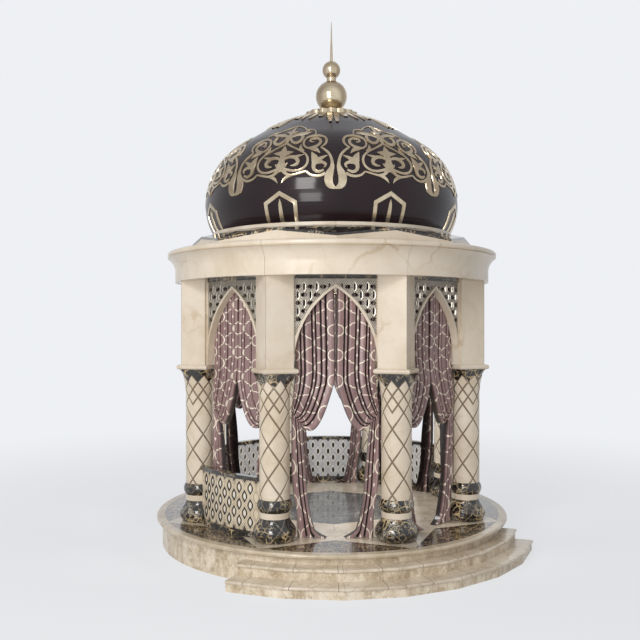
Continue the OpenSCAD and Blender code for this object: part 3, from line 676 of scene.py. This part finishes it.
def carved_shafts():
    """Column shafts with a net of V grooves, coarse below and fine towards the top, ending in
    points that lie over the flare of the capital. Carved flat, then wrapped round."""
    round_length = math.tau * shaft_r
    wide, tall = round_length / 16, CELL_RUN / 4
    b = bmesh.new()
    bmesh.ops.create_grid(b, x_segments=NET, y_segments=NET, size=NET / 2)
    for v in b.verts:
        i, j = round(v.co.x), round(v.co.y)
        v.co = ((i - j + NET_ASIDE) * wide, carving_z + (i + j) * tall, 0)
    gone, joined = [], []
    for face in b.faces:
        middle = face.calc_center_median()
        beside = not -0.2 < middle.x < round_length + 0.2
        if middle.y > floor_z + NET_UP or middle.y < shaft_low[2] - 0.3 or beside:
            gone.append(face)
    bmesh.ops.delete(b, geom=gone, context="FACES")
    for edge in b.edges:
        if len(edge.link_faces) < 2:
            continue
        middle = (edge.verts[0].co + edge.verts[1].co) / 2
        p = round(middle.x / wide * 2) / 2
        q = round((middle.y - carving_z) / tall * 2) / 2
        i, j = (q + p - NET_ASIDE) / 2, (q - p + NET_ASIDE) / 2
        line, way = (round(j), i) if abs(j - round(j)) < 0.1 else (round(i), j)
        cell = math.floor(way / 2) * 2 + 1
        centre = carving_z + (line + cell) * tall
        top = floor_z + COARSE_UP
        if line % 2 != 0 and centre < (top + 0.2 if way < cell else top):
            joined.append(edge)
    bmesh.ops.dissolve_edges(b, edges=joined, use_verts=False)
    bmesh.ops.dissolve_verts(b, verts=[v for v in b.verts if in_line(v)])
    bmesh.ops.inset_individual(b, faces=list(b.faces), thickness=GROOVE_HALF,
                               depth=GROOVE_DEEP, use_even_offset=True)
    cut(b, (0, 0, 0), (-1, 0, 0), drop=True)
    cut(b, (round_length, 0, 0), (1, 0, 0), drop=True)
    cut(b, (0, shaft_low[2], 0), (0, -1, 0), drop=True)
    for step in range(1, SHAFT_FACES):
        cut(b, (round_length * step / SHAFT_FACES, 0, 0), (1, 0, 0))
    for height in FLARE_CUTS:
        cut(b, (0, floor_z + height, 0), (0, 1, 0))
    groove = b.verts.layers.float.new("groove")
    for v in b.verts:
        turn, height, raised = v.co.x / shaft_r, v.co.y, v.co.z
        # how deep a corner lies in a groove, which the carved stone darkens as painted shade
        v[groove] = 1 - raised / GROOVE_DEEP
        rise = max(0.0, height - shaft_high[2])
        flare = shaft_r + FLARE_R - math.sqrt(FLARE_R * FLARE_R - rise * rise)
        square = FLARE_HALF / max(math.cos((turn % (math.pi / 2)) - math.pi / 4), 0.1)
        proud = min(1.0, max(0.0, (height - floor_z - PROUD_UP) / PROUD_RUN))
        r = min(flare, square)
        r += raised - GROOVE_DEEP + proud * (GROOVE_DEEP - PROUD_FOOT)
        v.co = (r * math.sin(turn), -r * math.cos(turn) - ring_r, height)
    bmesh.ops.remove_doubles(b, verts=list(b.verts), dist=2e-4)
    bmesh.ops.holes_fill(b, edges=[e for e in b.edges if len(e.link_faces) == 1], sides=0)
    around(b)
    shafts = piece("carved_shafts", b, CARVED, smooth=24)
    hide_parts("column_shafts")


FLAT_W, FLAT_H = 1.20, 3.62      # a panel laid flat
CLOTH_W, CLOTH_H = 144, 96       # its faces across and down
BEND_AT, TIE_AT = 0.40, 0.64     # shares of a thread's way at which it bends and is tied
BEND_UP, TIE_UP = 2.117, 1.65    # how high that is over the floor
PATTERN_W = 0.66                 # width of pattern that shows across the gathered panel


def soft_step(x):
    x = np.clip(x, 0, 1)
    return x * x * (3 - 2 * x)


def folds(s, widths, wall):
    """Fold cloth into flat crests between deep valleys, from the crests' widths: the share of
    the hung width at each thread s, and how far it stands out, -1 in a valley to 1 on a crest.
    Each wall of a fold takes up as much cloth as the share given."""
    widths = np.array(widths) / np.sum(widths)
    cloth = widths + 2 * wall
    starts = np.concatenate([[0], np.cumsum(cloth)]) / np.sum(cloth)
    edges = np.concatenate([[0], np.cumsum(widths)])
    which = np.clip(np.searchsorted(starts, s, side="right") - 1, 0, len(widths) - 1)
    p = (s - starts[which]) / (starts[which + 1] - starts[which])
    steep = wall / cloth[which]
    rise = soft_step(p / steep) * soft_step((1 - p) / steep)
    crossed = np.clip((p - steep * 0.75) / (1 - 1.5 * steep), 0, 1) * 0.34 + 0.66 * p
    bulge = 0.35 * (2 * p - 1) ** 2
    return edges[which] + widths[which] * crossed, 2 * rise - 1 - bulge * rise


def bow(k, a, b, c, d):
    """A curve from a to d that sets out towards b and comes in from c, at share k."""
    one = 1 - k
    return one ** 3 * a + 3 * one * one * k * b + 3 * one * k * k * c + k ** 3 * d


def curtain(bay, side):
    """One satin panel, pleated on its rail, drawn aside into its tie and falling to the floor.
    Thread s runs down the cloth, 0 at the leading edge; t is the share of its way."""
    chance = np.random.default_rng(20 * bay + side)
    b = bmesh.new()
    bmesh.ops.create_grid(b, x_segments=CLOTH_W, y_segments=CLOTH_H, size=0.5)
    flat = np.array([v.co for v in b.verts])
    s, t = flat[:, 0] + 0.5, 0.5 - flat[:, 1]
    swell = np.interp(s, np.linspace(0, 1, 19), chance.uniform(0.8, 1.1, 19))
    lean = chance.uniform(-1, 1, 4)
    hung = np.tile([1.0, 0.5], 4)[:7] * chance.uniform(0.7, 1.45, 7)
    drift = s + 0.012 * np.sin(t * 7 + lean[0] * 3) * np.sin(s * math.pi)
    q, lift = folds(drift, hung, 0.075)
    tail_q, tail_lift = folds(s, (0.20, 0.26, 0.54), 0.16)
    tied = soft_step((t - 0.58) / 0.09)
    q = np.clip(q + (tail_q - q) * tied, 0, 1)
    lift = lift + (tail_lift - lift) * tied

    # x is across from the middle of the bay and h is up from the floor: first from the rail
    # to the bend, then swept into the tie, then down from it
    top = rail_z - floor_z - 0.01
    down = np.clip(t / BEND_AT, 0, 1)
    sweep = np.clip((t - BEND_AT) / (TIE_AT - BEND_AT), 0, 1)
    fall = np.clip((t - TIE_AT) / (1 - TIE_AT), 0, 1)
    outer = np.interp(down, [0, 0.75, 0.92, 1], [0.592, 0.550, 0.545, 0.56])
    hang_x = 0.012 + (outer - 0.012) * q + 0.008 * np.sin(t * 9 + lean[2] * 3) * (1 - q)
    hang_h = top - (top - BEND_UP) * down

    knot_x, knot_h = 0.495 + 0.105 * q, TIE_UP - 0.05 + 0.10 * q
    sag = (1 - q) ** 1.2
    swept_x = bow(sweep, hang_x, hang_x + 0.088 * sag, knot_x - 0.225 * sag, knot_x)
    swept_h = bow(sweep, BEND_UP, BEND_UP - 0.147 - 0.17 * sag,
                  knot_h + 0.12 - 0.57 * sag, knot_h)

    fall_h = knot_h * (1 - fall) + 0.006
    spread = np.clip((0.95 - fall_h) / 0.95, 0, 1)
    inner = 0.480 - 0.080 * np.clip((TIE_UP - fall_h) / 0.75, 0, 1) - 0.155 * spread ** 2.2
    trail = soft_step((0.09 - fall_h) / 0.09) * np.clip(1 - q * 3.3, 0, 1)
    inner = inner - 0.14 * trail
    outer_low = np.interp(fall_h, [0, 0.32, 0.6, 0.9, 1.6], [0.522, 0.528, 0.575, 0.60, 0.60])
    fall_x = inner + (outer_low - inner) * q ** 0.9
    fall_x = knot_x + (fall_x - knot_x) * np.clip(fall / 0.05, 0, 1)
    x = np.where(t < BEND_AT, hang_x, np.where(t < TIE_AT, swept_x, fall_x))
    h = np.where(t < BEND_AT, hang_h, np.where(t < TIE_AT, swept_h, fall_h))

    # how far the cloth stands out from the curtain's plane
    deep = 0.052 * swell * (0.75 + 0.25 * soft_step(np.abs(t - TIE_AT) * 8))
    swag = np.sin(np.pi * np.clip((t - 0.28) / 0.36, 0, 1)) ** 2
    out = deep * lift + 0.045 * swag * (1 - 0.45 * q) - 0.006
    out = out + 0.010 * np.sin(t * 11 + lean[3] * 3 + s * 3) * soft_step(t * 4) * (1 - swag)
    out = out + 0.030 * trail

    turn = TURN * (bay - 0.5)
    px, py = (-x if side == 0 else x), -(curtain_mid + out)
    where = np.stack([px * math.cos(turn) - py * math.sin(turn),
                      px * math.sin(turn) + py * math.cos(turn), floor_z + h], 1)
    uv = b.loops.layers.uv.new("cloth")
    # fold: how deep in a valley each point lies, which the satin turns into painted shade
    fold = b.verts.layers.float.new("fold")
    for v, p, low in zip(b.verts, where, (1 - lift) / 2):
        v.co = p
        v[fold] = low
    along = PATTERN_W * q
    along = along + (PATTERN_W + 1.25 * (q - 1) * (0.602 - inner) - along) * tied
    for face in b.faces:
        for loop in face.loops:
            i = loop.vert.index
            loop[uv].uv = (along[i] + 0.093, (1 - t[i]) * FLAT_H * 1.1 + 0.03 * (bay - 2))
    name = f"curtain_{bay}_{'left' if side == 0 else 'right'}"
    if side == 0:
        bmesh.ops.reverse_faces(b, faces=list(b.faces))
    panel = piece(name, b, SATIN, smooth=180)
    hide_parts(f"curtains_{bay}")


ORNAMENT_UP = 0.569      # from the dome's foot to the line that the ornament is placed from
STRAP_STEP = 0.032       # between the cross-sections of a strap


class DomeSkin:
    """Places on the outside of the dome: v is the way up along it from the ornament's line."""

    def __init__(self):
        line = np.array([p for p in outer_line("dome") if p[1] > 0.01])
        while line[1][0] - line[0][0] < 0.002:
            line = line[1:]
        step = np.hypot(np.diff(line[:, 0]), np.diff(line[:, 1]))
        way = np.concatenate([[0], np.cumsum(step)])
        self.way = way - np.interp(line[0][0] + ORNAMENT_UP, line[:, 0], way)
        self.z, self.r = line[:, 0], line[:, 1]
        self.per_radian = self.r.max()

    def at(self, way):
        return np.interp(way, self.way, self.z), np.interp(way, self.way, self.r)

    def put(self, b, local=False):
        """Wrap flat points (across, v, height off the skin) round the dome at -Y."""
        for v in b.verts:
            u, way, off = v.co
            z, r = self.at(way)
            dz, dr = np.subtract(self.at(way + 0.02), self.at(way - 0.02))
            slope = math.hypot(dz, dr)
            turn = u / (r if local else self.per_radian)
            out, up = r + off * dz / slope, z - off * dr / slope
            v.co = (out * math.sin(turn), -out * math.cos(turn), up)


def flowing(points, count):
    """Even points along a smooth line through the given ones, with their directions."""
    p = np.array(points, float)
    ends = np.vstack([2 * p[0] - p[1], p, 2 * p[-1] - p[-2]])
    fine = []
    for i in range(len(p) - 1):
        a, c, d, e = ends[i:i + 4]
        for k in np.linspace(0, 1, 12, endpoint=i == len(p) - 2):
            fine.append(0.5 * (2 * c + (d - a) * k + (2 * a - 5 * c + 4 * d - e) * k * k
                               + (3 * c - a - 3 * d + e) * k ** 3))
    return even(np.array(fine), count)


def even(line, count):
    """Points at even steps along a line, with their directions."""
    step = np.hypot(*np.diff(line, axis=0).T)
    way = np.concatenate([[0], np.cumsum(step)])
    at = np.linspace(0, way[-1], count)
    spots = np.stack([np.interp(at, way, line[:, i]) for i in (0, 1)], 1)
    run = np.gradient(spots, axis=0)
    return spots, run / np.linalg.norm(run, axis=1)[:, None]


# a strap's cross-section: place across its half width, and height off the skin
STRAP = ((-1.0, -0.004), (-0.84, 0.011), (0.0, 0.009), (0.84, 0.011), (1.0, -0.004))


def strap(b, points, widths, sides=(1, -1), straight=False, thick=1.0):
    """Add a raised strap along a line, its widths at even steps of its length."""
    if straight:
        spots = np.array(points, float)
        legs = np.diff(spots, axis=0)
        legs /= np.linalg.norm(legs, axis=1)[:, None]
        run = np.vstack([legs[:1], legs[:-1] + legs[1:], legs[-1:]])
        run /= np.linalg.norm(run, axis=1)[:, None]
        bend = np.concatenate([[1], np.sum(run[1:-1] * legs[1:], 1), [1]])
    else:
        reach = np.hypot(*np.diff(np.array(points, float), axis=0).T).sum()
        count = max(7, int(reach / STRAP_STEP))
        spots, run = flowing(points, count)
        bend = np.ones(count)
    count = len(spots)
    share = np.linspace(0, 1, count)
    half = np.interp(share, np.linspace(0, 1, len(widths)), widths) / 2 / bend
    for side in sides:
        made = bmesh.ops.create_grid(b, x_segments=count - 1, y_segments=4, size=0.5)
        for v in made["verts"]:
            i = round((v.co.x + 0.5) * (count - 1))
            across, height = STRAP[round((v.co.y + 0.5) * 4)]
            spot = spots[i] + half[i] * across * side * np.array((-run[i][1], run[i][0]))
            v.co = (spot[0] * side, spot[1], height * thick)


# strokes of the dome's motif, right of its middle: points across and up, and widths
SCROLLS = (
    ([(0, 0.11), (0, 0.17), (0, 0.23), (0, 0.29), (0, 0.34), (0, 0.385), (0, 0.43), (0, 0.48),
     (0, 0.545)], [0.03, 0.13, 0.16, 0.105, 0.085, 0.12, 0.13, 0.075, 0.008]),
    ([(0.01, 0.405), (0.08, 0.41), (0.16, 0.415)], [0.10, 0.075, 0.008]),
    ([(0, 0.20), (0.05, 0.12), (0.105, 0.07), (0.17, 0.06)], [0.10, 0.07, 0.05, 0.036]),
    ([(0.17, 0.055), (0.105, 0.035), (0.06, 0), (0.03, -0.045)], [0.036, 0.055, 0.045, 0.006]),
    ([(0.01, 0.195), (0.06, 0.20), (0.095, 0.235)], [0.09, 0.055, 0.008]),
    ([(0.14, 0.05), (0.23, 0.065), (0.31, 0.085), (0.375, 0.10)], [0.04, 0.036, 0.034, 0.028]),
    ([(0.375, 0.10), (0.43, 0.05), (0.51, 0.03), (0.58, 0.04), (0.64, 0.07)],
     [0.03, 0.036, 0.04, 0.045, 0.05]),
    ([(0.02, 0.165), (0.09, 0.14), (0.20, 0.115), (0.30, 0.13), (0.37, 0.19), (0.39, 0.27),
     (0.365, 0.345), (0.30, 0.41), (0.20, 0.47), (0.10, 0.53), (0, 0.60)],
     [0.05, 0.045, 0.042, 0.04, 0.042, 0.04, 0.036, 0.034, 0.034, 0.04, 0.05]),
    ([(0, 0.26), (0.05, 0.315), (0.12, 0.335), (0.19, 0.325), (0.24, 0.28), (0.245, 0.23),
     (0.20, 0.20), (0.14, 0.195)], [0.03, 0.045, 0.055, 0.065, 0.065, 0.065, 0.05, 0.012]),
    ([(0.19, 0.33), (0.25, 0.345), (0.32, 0.36)], [0.05, 0.045, 0.008]),
    ([(0, 0.57), (0, 0.65), (0, 0.75), (0, 0.85), (0, 0.94), (0, 1.02), (0, 1.10)],
     [0.05, 0.08, 0.075, 0.08, 0.065, 0.05, 0.01]),
    ([(0.01, 0.87), (0.06, 0.89), (0.12, 0.895)], [0.07, 0.05, 0.008]),
    ([(0, 0.70), (0.06, 0.775), (0.16, 0.82), (0.27, 0.835), (0.39, 0.855)],
     [0.03, 0.065, 0.08, 0.075, 0.01]),
    ([(0.035, 0.745), (0.06, 0.67), (0.11, 0.61), (0.18, 0.60), (0.235, 0.65), (0.25, 0.72),
     (0.23, 0.78)], [0.035, 0.045, 0.055, 0.06, 0.06, 0.065, 0.06]),
    ([(0.31, 0.415), (0.26, 0.475), (0.255, 0.555)], [0.055, 0.065, 0.008]),
    ([(0.565, 0.49), (0.62, 0.53), (0.65, 0.61), (0.625, 0.69), (0.555, 0.74), (0.46, 0.755),
     (0.37, 0.73), (0.305, 0.665), (0.29, 0.59), (0.31, 0.52), (0.365, 0.475)],
     [0.02, 0.045, 0.048, 0.048, 0.05, 0.05, 0.05, 0.048, 0.042, 0.036, 0.04]),
    ([(0.36, 0.475), (0.43, 0.47), (0.51, 0.435), (0.56, 0.375)], [0.03, 0.08, 0.07, 0.008]),
    ([(0.43, 0.475), (0.505, 0.51), (0.555, 0.57), (0.55, 0.63), (0.50, 0.675), (0.43, 0.675),
     (0.39, 0.635), (0.405, 0.595), (0.455, 0.60)],
     [0.07, 0.06, 0.055, 0.055, 0.055, 0.055, 0.05, 0.045, 0.012]),
    ([(0.565, 0.485), (0.63, 0.435), (0.695, 0.36), (0.73, 0.26), (0.735, 0.165), (0.712, 0.10),
     (0.688, 0.03), (0.688, -0.04), (0.712, -0.10), (0.782, -0.138)],
     [0.03, 0.045, 0.045, 0.045, 0.05, 0.085, 0.13, 0.135, 0.115, 0.03]),
    ([(0.435, 0.40), (0.47, 0.335), (0.50, 0.26), (0.475, 0.185), (0.49, 0.12), (0.55, 0.09),
     (0.62, 0.12)], [0.012, 0.09, 0.14, 0.07, 0.055, 0.05, 0.03]),
    ([(0.52, 0.255), (0.59, 0.30), (0.67, 0.34)], [0.09, 0.06, 0.012]),
    ([(0.53, 0.235), (0.60, 0.23), (0.65, 0.19), (0.62, 0.15)], [0.07, 0.055, 0.05, 0.012]),
)
THREADS = (
    [(0.46, 0.76), (0.45, 0.85), (0.41, 0.935)],
    [(0.415, 0.93), (0.33, 0.955), (0.25, 0.95)],
    [(0.25, 0.95), (0.21, 1.02), (0.12, 1.09), (0, 1.15)],
)


def dome_scrolls(skin):
    """Eight gold motifs of scrolls and leaves round the shoulder of the dome. The strokes that
    aren't on the middle line of the motif are mirrored to its left."""
    b = bmesh.new()
    for points, widths in SCROLLS:
        middle = all(across == 0 for across, _ in points)
        strap(b, points, widths, sides=(1,) if middle else (1, -1))
    for points in THREADS:
        strap(b, points, [0.028] * 3, thick=0.9)
    skin.put(b)
    around(b)
    piece("dome_scrolls", b, GOLD, smooth=32)


def dome_arches(skin):
    """A small pointed arch and a bar inside it at the foot of each motif."""
    b = bmesh.new()
    foot = float(skin.way[0]) + 0.004
    rows = np.linspace(foot, -0.31, 7)
    strap(b, [(-0.222, v) for v in rows] + [(0, -0.182)] + [(0.222, v) for v in rows[::-1]],
          [0.066] * 3, sides=(1,), straight=True)
    strap(b, [(0, v) for v in np.linspace(foot, -0.32, 6)] + [(0, -0.262)],
          [0.078, 0.075, 0.072, 0.068, 0.062, 0.052, 0.006], sides=(1,), straight=True)
    skin.put(b)
    around(b)
    piece("dome_arches", b, GOLD, smooth=32)


def crown_leaves(skin):
    """A gold rosette on the crown of the dome: a long leaf of two lobes over each bay, a short
    one at each side of it, and a pair of pointed leaves over each pier."""
    b = bmesh.new()
    turned_in = skin.r.argmax()

    def at(r):
        return float(np.interp(-r, -skin.r[turned_in:], skin.way[turned_in:]))

    bay_leaf = (((0.03, 0.25), (0.045, 0.5), (0.048, 0.8), (0.05, 1.22)),
                [0.05, 0.07, 0.075, 0.08, 0.085, 0.088, 0.08, 0.045])
    side_leaf = (((0, 0.25), (0, 0.5), (0, 0.75), (0, 0.98)),
                 [0.07, 0.09, 0.10, 0.11, 0.11, 0.10, 0.06])
    pier_leaf = (((0.02, 0.25), (0.04, 0.5), (0.07, 0.85), (0.055, 1.08)),
                 [0.03, 0.05, 0.065, 0.06, 0.01])
    for turn, sides, (points, widths) in (
            (TURN / 2, (1, -1), bay_leaf), (TURN / 4, (1,), side_leaf),
            (-TURN / 4, (1,), side_leaf), (0, (1, -1), pier_leaf)):
        leaf = bmesh.new()
        strap(leaf, [(across, at(r)) for across, r in points], widths, sides=sides, thick=1.5)
        skin.put(leaf, local=True)
        bmesh.ops.rotate(leaf, verts=leaf.verts, cent=(0, 0, 0),
                         matrix=Matrix.Rotation(turn, 3, "Z"))
        shape = mesh_of("leaf", leaf)
        b.from_mesh(shape)
        bpy.data.meshes.remove(shape)
    around(b)
    piece("crown_leaves", b, GOLD, smooth=32)


def crown_cap():
    """A low gold cap of petals under the balls, in place of the plain disc."""
    b = bmesh.new()
    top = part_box("finial_disc")[1].z
    # radius, height over the top of the disc, and how much of the petals' wave it takes
    rows = ((0.08, 0, 0), (0.215, 0, 0), (0.232, -0.010, 0), (0.226, -0.022, 0),
            (0.29, -0.026, 0.15), (0.36, -0.038, 0.35), (0.42, -0.058, 0.6), (0.425, -0.13, 0.6))
    rings = []
    for radius, up, petal in rows:
        made = bmesh.ops.create_circle(b, segments=96, radius=radius)["verts"]
        for v in made:
            wave = abs(math.cos(BAYS * math.atan2(v.co.y, v.co.x)))
            v.co *= 1 + petal * 0.11 * (wave - 0.6)
            v.co.z = top + up - petal * 0.012 * (1 - wave)
        rings.append(list({edge for v in made for edge in v.link_edges}))
    for first, second in zip(rings, rings[1:]):
        bmesh.ops.bridge_loops(b, edges=first + second)
    bmesh.ops.recalc_face_normals(b, faces=list(b.faces))
    cap = piece("crown_cap", b, GOLD, smooth=40)
    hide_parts("finial_disc")


def slot_loop(b, wide, tall, height, filled=False):
    """The outline of a pointed slot."""
    made = bmesh.ops.create_circle(b, segments=6, radius=1, cap_ends=filled)
    shoulder = tall / 2 - wide * 0.75
    for v in made["verts"]:
        tip = abs(v.co.x) < 0.1
        v.co = (0 if tip else math.copysign(wide / 2, v.co.x),
                math.copysign(tall / 2 if tip else shoulder, v.co.y), height)
    return list({edge for v in made["verts"] for edge in v.link_edges})


def slot_part(loops, filled=False):
    """A rim or slip through outlines of a slot, as a mesh to be repeated."""
    b = bmesh.new()
    edges = [slot_loop(b, *loop, filled) for loop in loops]
    for first, second in zip(edges, edges[1:]):
        bmesh.ops.bridge_loops(b, edges=first + second)
    bmesh.ops.recalc_face_normals(b, faces=list(b.faces))
    if max(b.faces, key=lambda face: face.calc_center_median().z).normal.z < 0:
        bmesh.ops.reverse_faces(b, faces=list(b.faces))
    return mesh_of("slot_part", b)


def slot_spots(node, turn, tall, run, curved=False):
    """Where the whole slots of a node are, across and up, found by their pointed ends."""
    tall = round(tall * 1000)
    ends = set()
    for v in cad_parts[node].data.vertices:
        x = v.co.x * math.cos(turn) + v.co.y * math.sin(turn)
        y = v.co.y * math.cos(turn) - v.co.x * math.sin(turn)
        across = math.atan2(x, -y) * ring_r if curved else x
        if abs(across / run - round(across / run)) < 0.02:
            ends.add((round(across / run), round(v.co.z * 1000)))
    return [(i * run, (2 * z - tall) / 2000) for i, z in sorted(ends) if (i, z - tall) in ends]


def repeat_part(b, mesh, turn, spots, reach, curved=False, inside=False):
    """Set a part at each spot of a flat or curved wall, facing out or in."""
    for across, z in spots:
        first = len(b.verts)
        b.from_mesh(mesh)
        b.verts.ensure_lookup_table()
        angle = turn + (across / ring_r if curved else 0)
        place = Matrix.Rotation(angle, 4, "Z")
        place = place @ Matrix.Translation((0 if curved else across, -reach, z))
        if inside:
            place = place @ Matrix.Rotation(math.pi, 4, "Z")
        place = place @ Matrix.Rotation(math.pi / 2, 4, "X")
        bmesh.ops.transform(b, matrix=place, verts=b.verts[first:])


def slot_rims():
    """Raised rims about the slots: bronze on both faces of the screens; on the balustrades
    light inside and dark outside, with a dark slip and a pale one standing in each slot, the
    dark one on the inner side."""
    rim = slot_part(LATTICE_RIM)
    b = bmesh.new()
    spots = slot_spots("lattice_screen_1", TURN / 2, SLOT_H, LATTICE_W / 2)
    repeat_part(b, rim, TURN / 2, spots, -screen_low[1])
    repeat_part(b, rim, TURN / 2, spots, -screen_high[1], inside=True)
    around(b)
    piece("lattice_rims", b, SLOT_RIM, smooth=20)
    shapes = {"rims": slot_part(BALUSTER_RIM), "edges": slot_part(BALUSTER_EDGE)}
    for name, front, back in (("slips", -0.012, -0.016), ("fills", 0.024, 0.020)):
        shapes[name] = slot_part(((*SLIP_SIZE, front), (*SLIP_SIZE, back)), filled=True)
    made = {name: bmesh.new() for name in shapes}
    for bay in CLOSED_BAYS:
        turn = TURN * (bay - 0.5)
        spots = slot_spots(f"balustrade_{bay}", turn, HOLE_H, HOLE_PITCH / 2, curved=True)
        for name, reach in (("rims", -0.0302), ("edges", 0.0298), ("slips", 0), ("fills", 0)):
            repeat_part(made[name], shapes[name], turn, spots, ring_r + reach, curved=True,
                        inside=name == "rims")
    for name, material, slot in (("rims", LIGHT, "cream_marble"), ("edges", SLIP, "dark_marble"),
                                 ("slips", SLIP, "dark_marble"), ("fills", LIGHT, "cream_marble")):
        piece(f"balustrade_{name}", made[name], material, smooth=20)


def shadow_strips():
    """Dark strips between the cornice and the tops of the arch frames."""
    long, deep, tall = 2 * (bay_half - 0.27), 0.008, 0.030
    b = bmesh.new()
    low, high = turned_box("arch_frames", TURN / 2)
    made = bmesh.ops.create_cube(b, size=1)
    place = Matrix.Rotation(TURN / 2, 4, "Z") @ Matrix.Translation((0, low[1], high[2] - 0.017))
    size = Matrix.Diagonal((long, deep, tall, 1))
    bmesh.ops.transform(b, matrix=place @ size, verts=made["verts"])
    around(b)
    piece("shadow_strips", b, DARK)


carved_shafts()
for bay in ALL_BAYS:
    for side in (0, 1):
        curtain(bay, side)
slot_rims()
shadow_strips()
skin = DomeSkin()
dome_scrolls(skin)
dome_arches(skin)
crown_leaves(skin)
crown_cap()


# --------------------------------------------------------- floor, backdrop, lamps and camera

def ground():
    """A wide flat floor."""
    b = bmesh.new()
    bmesh.ops.create_grid(b, x_segments=1, y_segments=1, size=60)
    floor = object_of("ground", mesh_of("ground", b))
    floor.data.materials.append(ground_paint())


def lamp(name, place, aim, size, power, colour=(1, 1, 1)):
    """A flat lamp at a place, turned to what it lights."""
    light = bpy.data.lights.new(name, "AREA")
    light.shape = "RECTANGLE"
    light.size, light.size_y = size
    light.energy = power
    light.color = colour
    lit = object_of(name, light)
    lit.location = place
    lit.rotation_euler = (Vector(aim) - Vector(place)).to_track_quat("-Z", "Y").to_euler()


def sky():
    """Even grey light all round; the camera and mirrors see a near-white studio."""
    f = Finish("studio", bpy.data.worlds)
    bpy.context.scene.world = f.made
    light = f.node("ShaderNodeBackground", {}, {0: (0.86, 0.84, 0.82, 1), 1: 0.43})
    studio = f.node("ShaderNodeBackground", {}, {0: (*BACKDROP, 1), 1: 1.0})
    both = f.node("ShaderNodeMixShader", {}, {0: f.in_view(), 1: light, 2: studio})
    f.node("ShaderNodeOutputWorld", {}, {0: both})


def camera():
    """A level camera whose shift keeps the columns upright."""
    data = bpy.data.cameras.new("camera")
    data.sensor_width = 36
    data.lens = 44.43
    data.shift_y = 0.0107
    data.clip_end = 300
    eye = object_of("camera", data)
    eye.location = (-5.1745, -11.5326, 3.3075)
    eye.rotation_euler = (math.radians(90), 0, math.radians(-23.34))
    bpy.context.scene.camera = eye


camera()
ground()
sky()
warm = (1.0, 0.985, 0.96)
lamp("key", (-9, -9, 9), (0, 0, 3), (3.4, 3.4), 520, warm)
lamp("front", (-9, -10.5, 4.2), (0, 0, 2), (4, 4), 400, warm)
lamp("inner", (-0.4, -0.9, 3.1), (0.5, 1.5, 0.7), (0.9, 0.9), 75)
bpy.context.scene.view_settings.view_transform = "Standard"
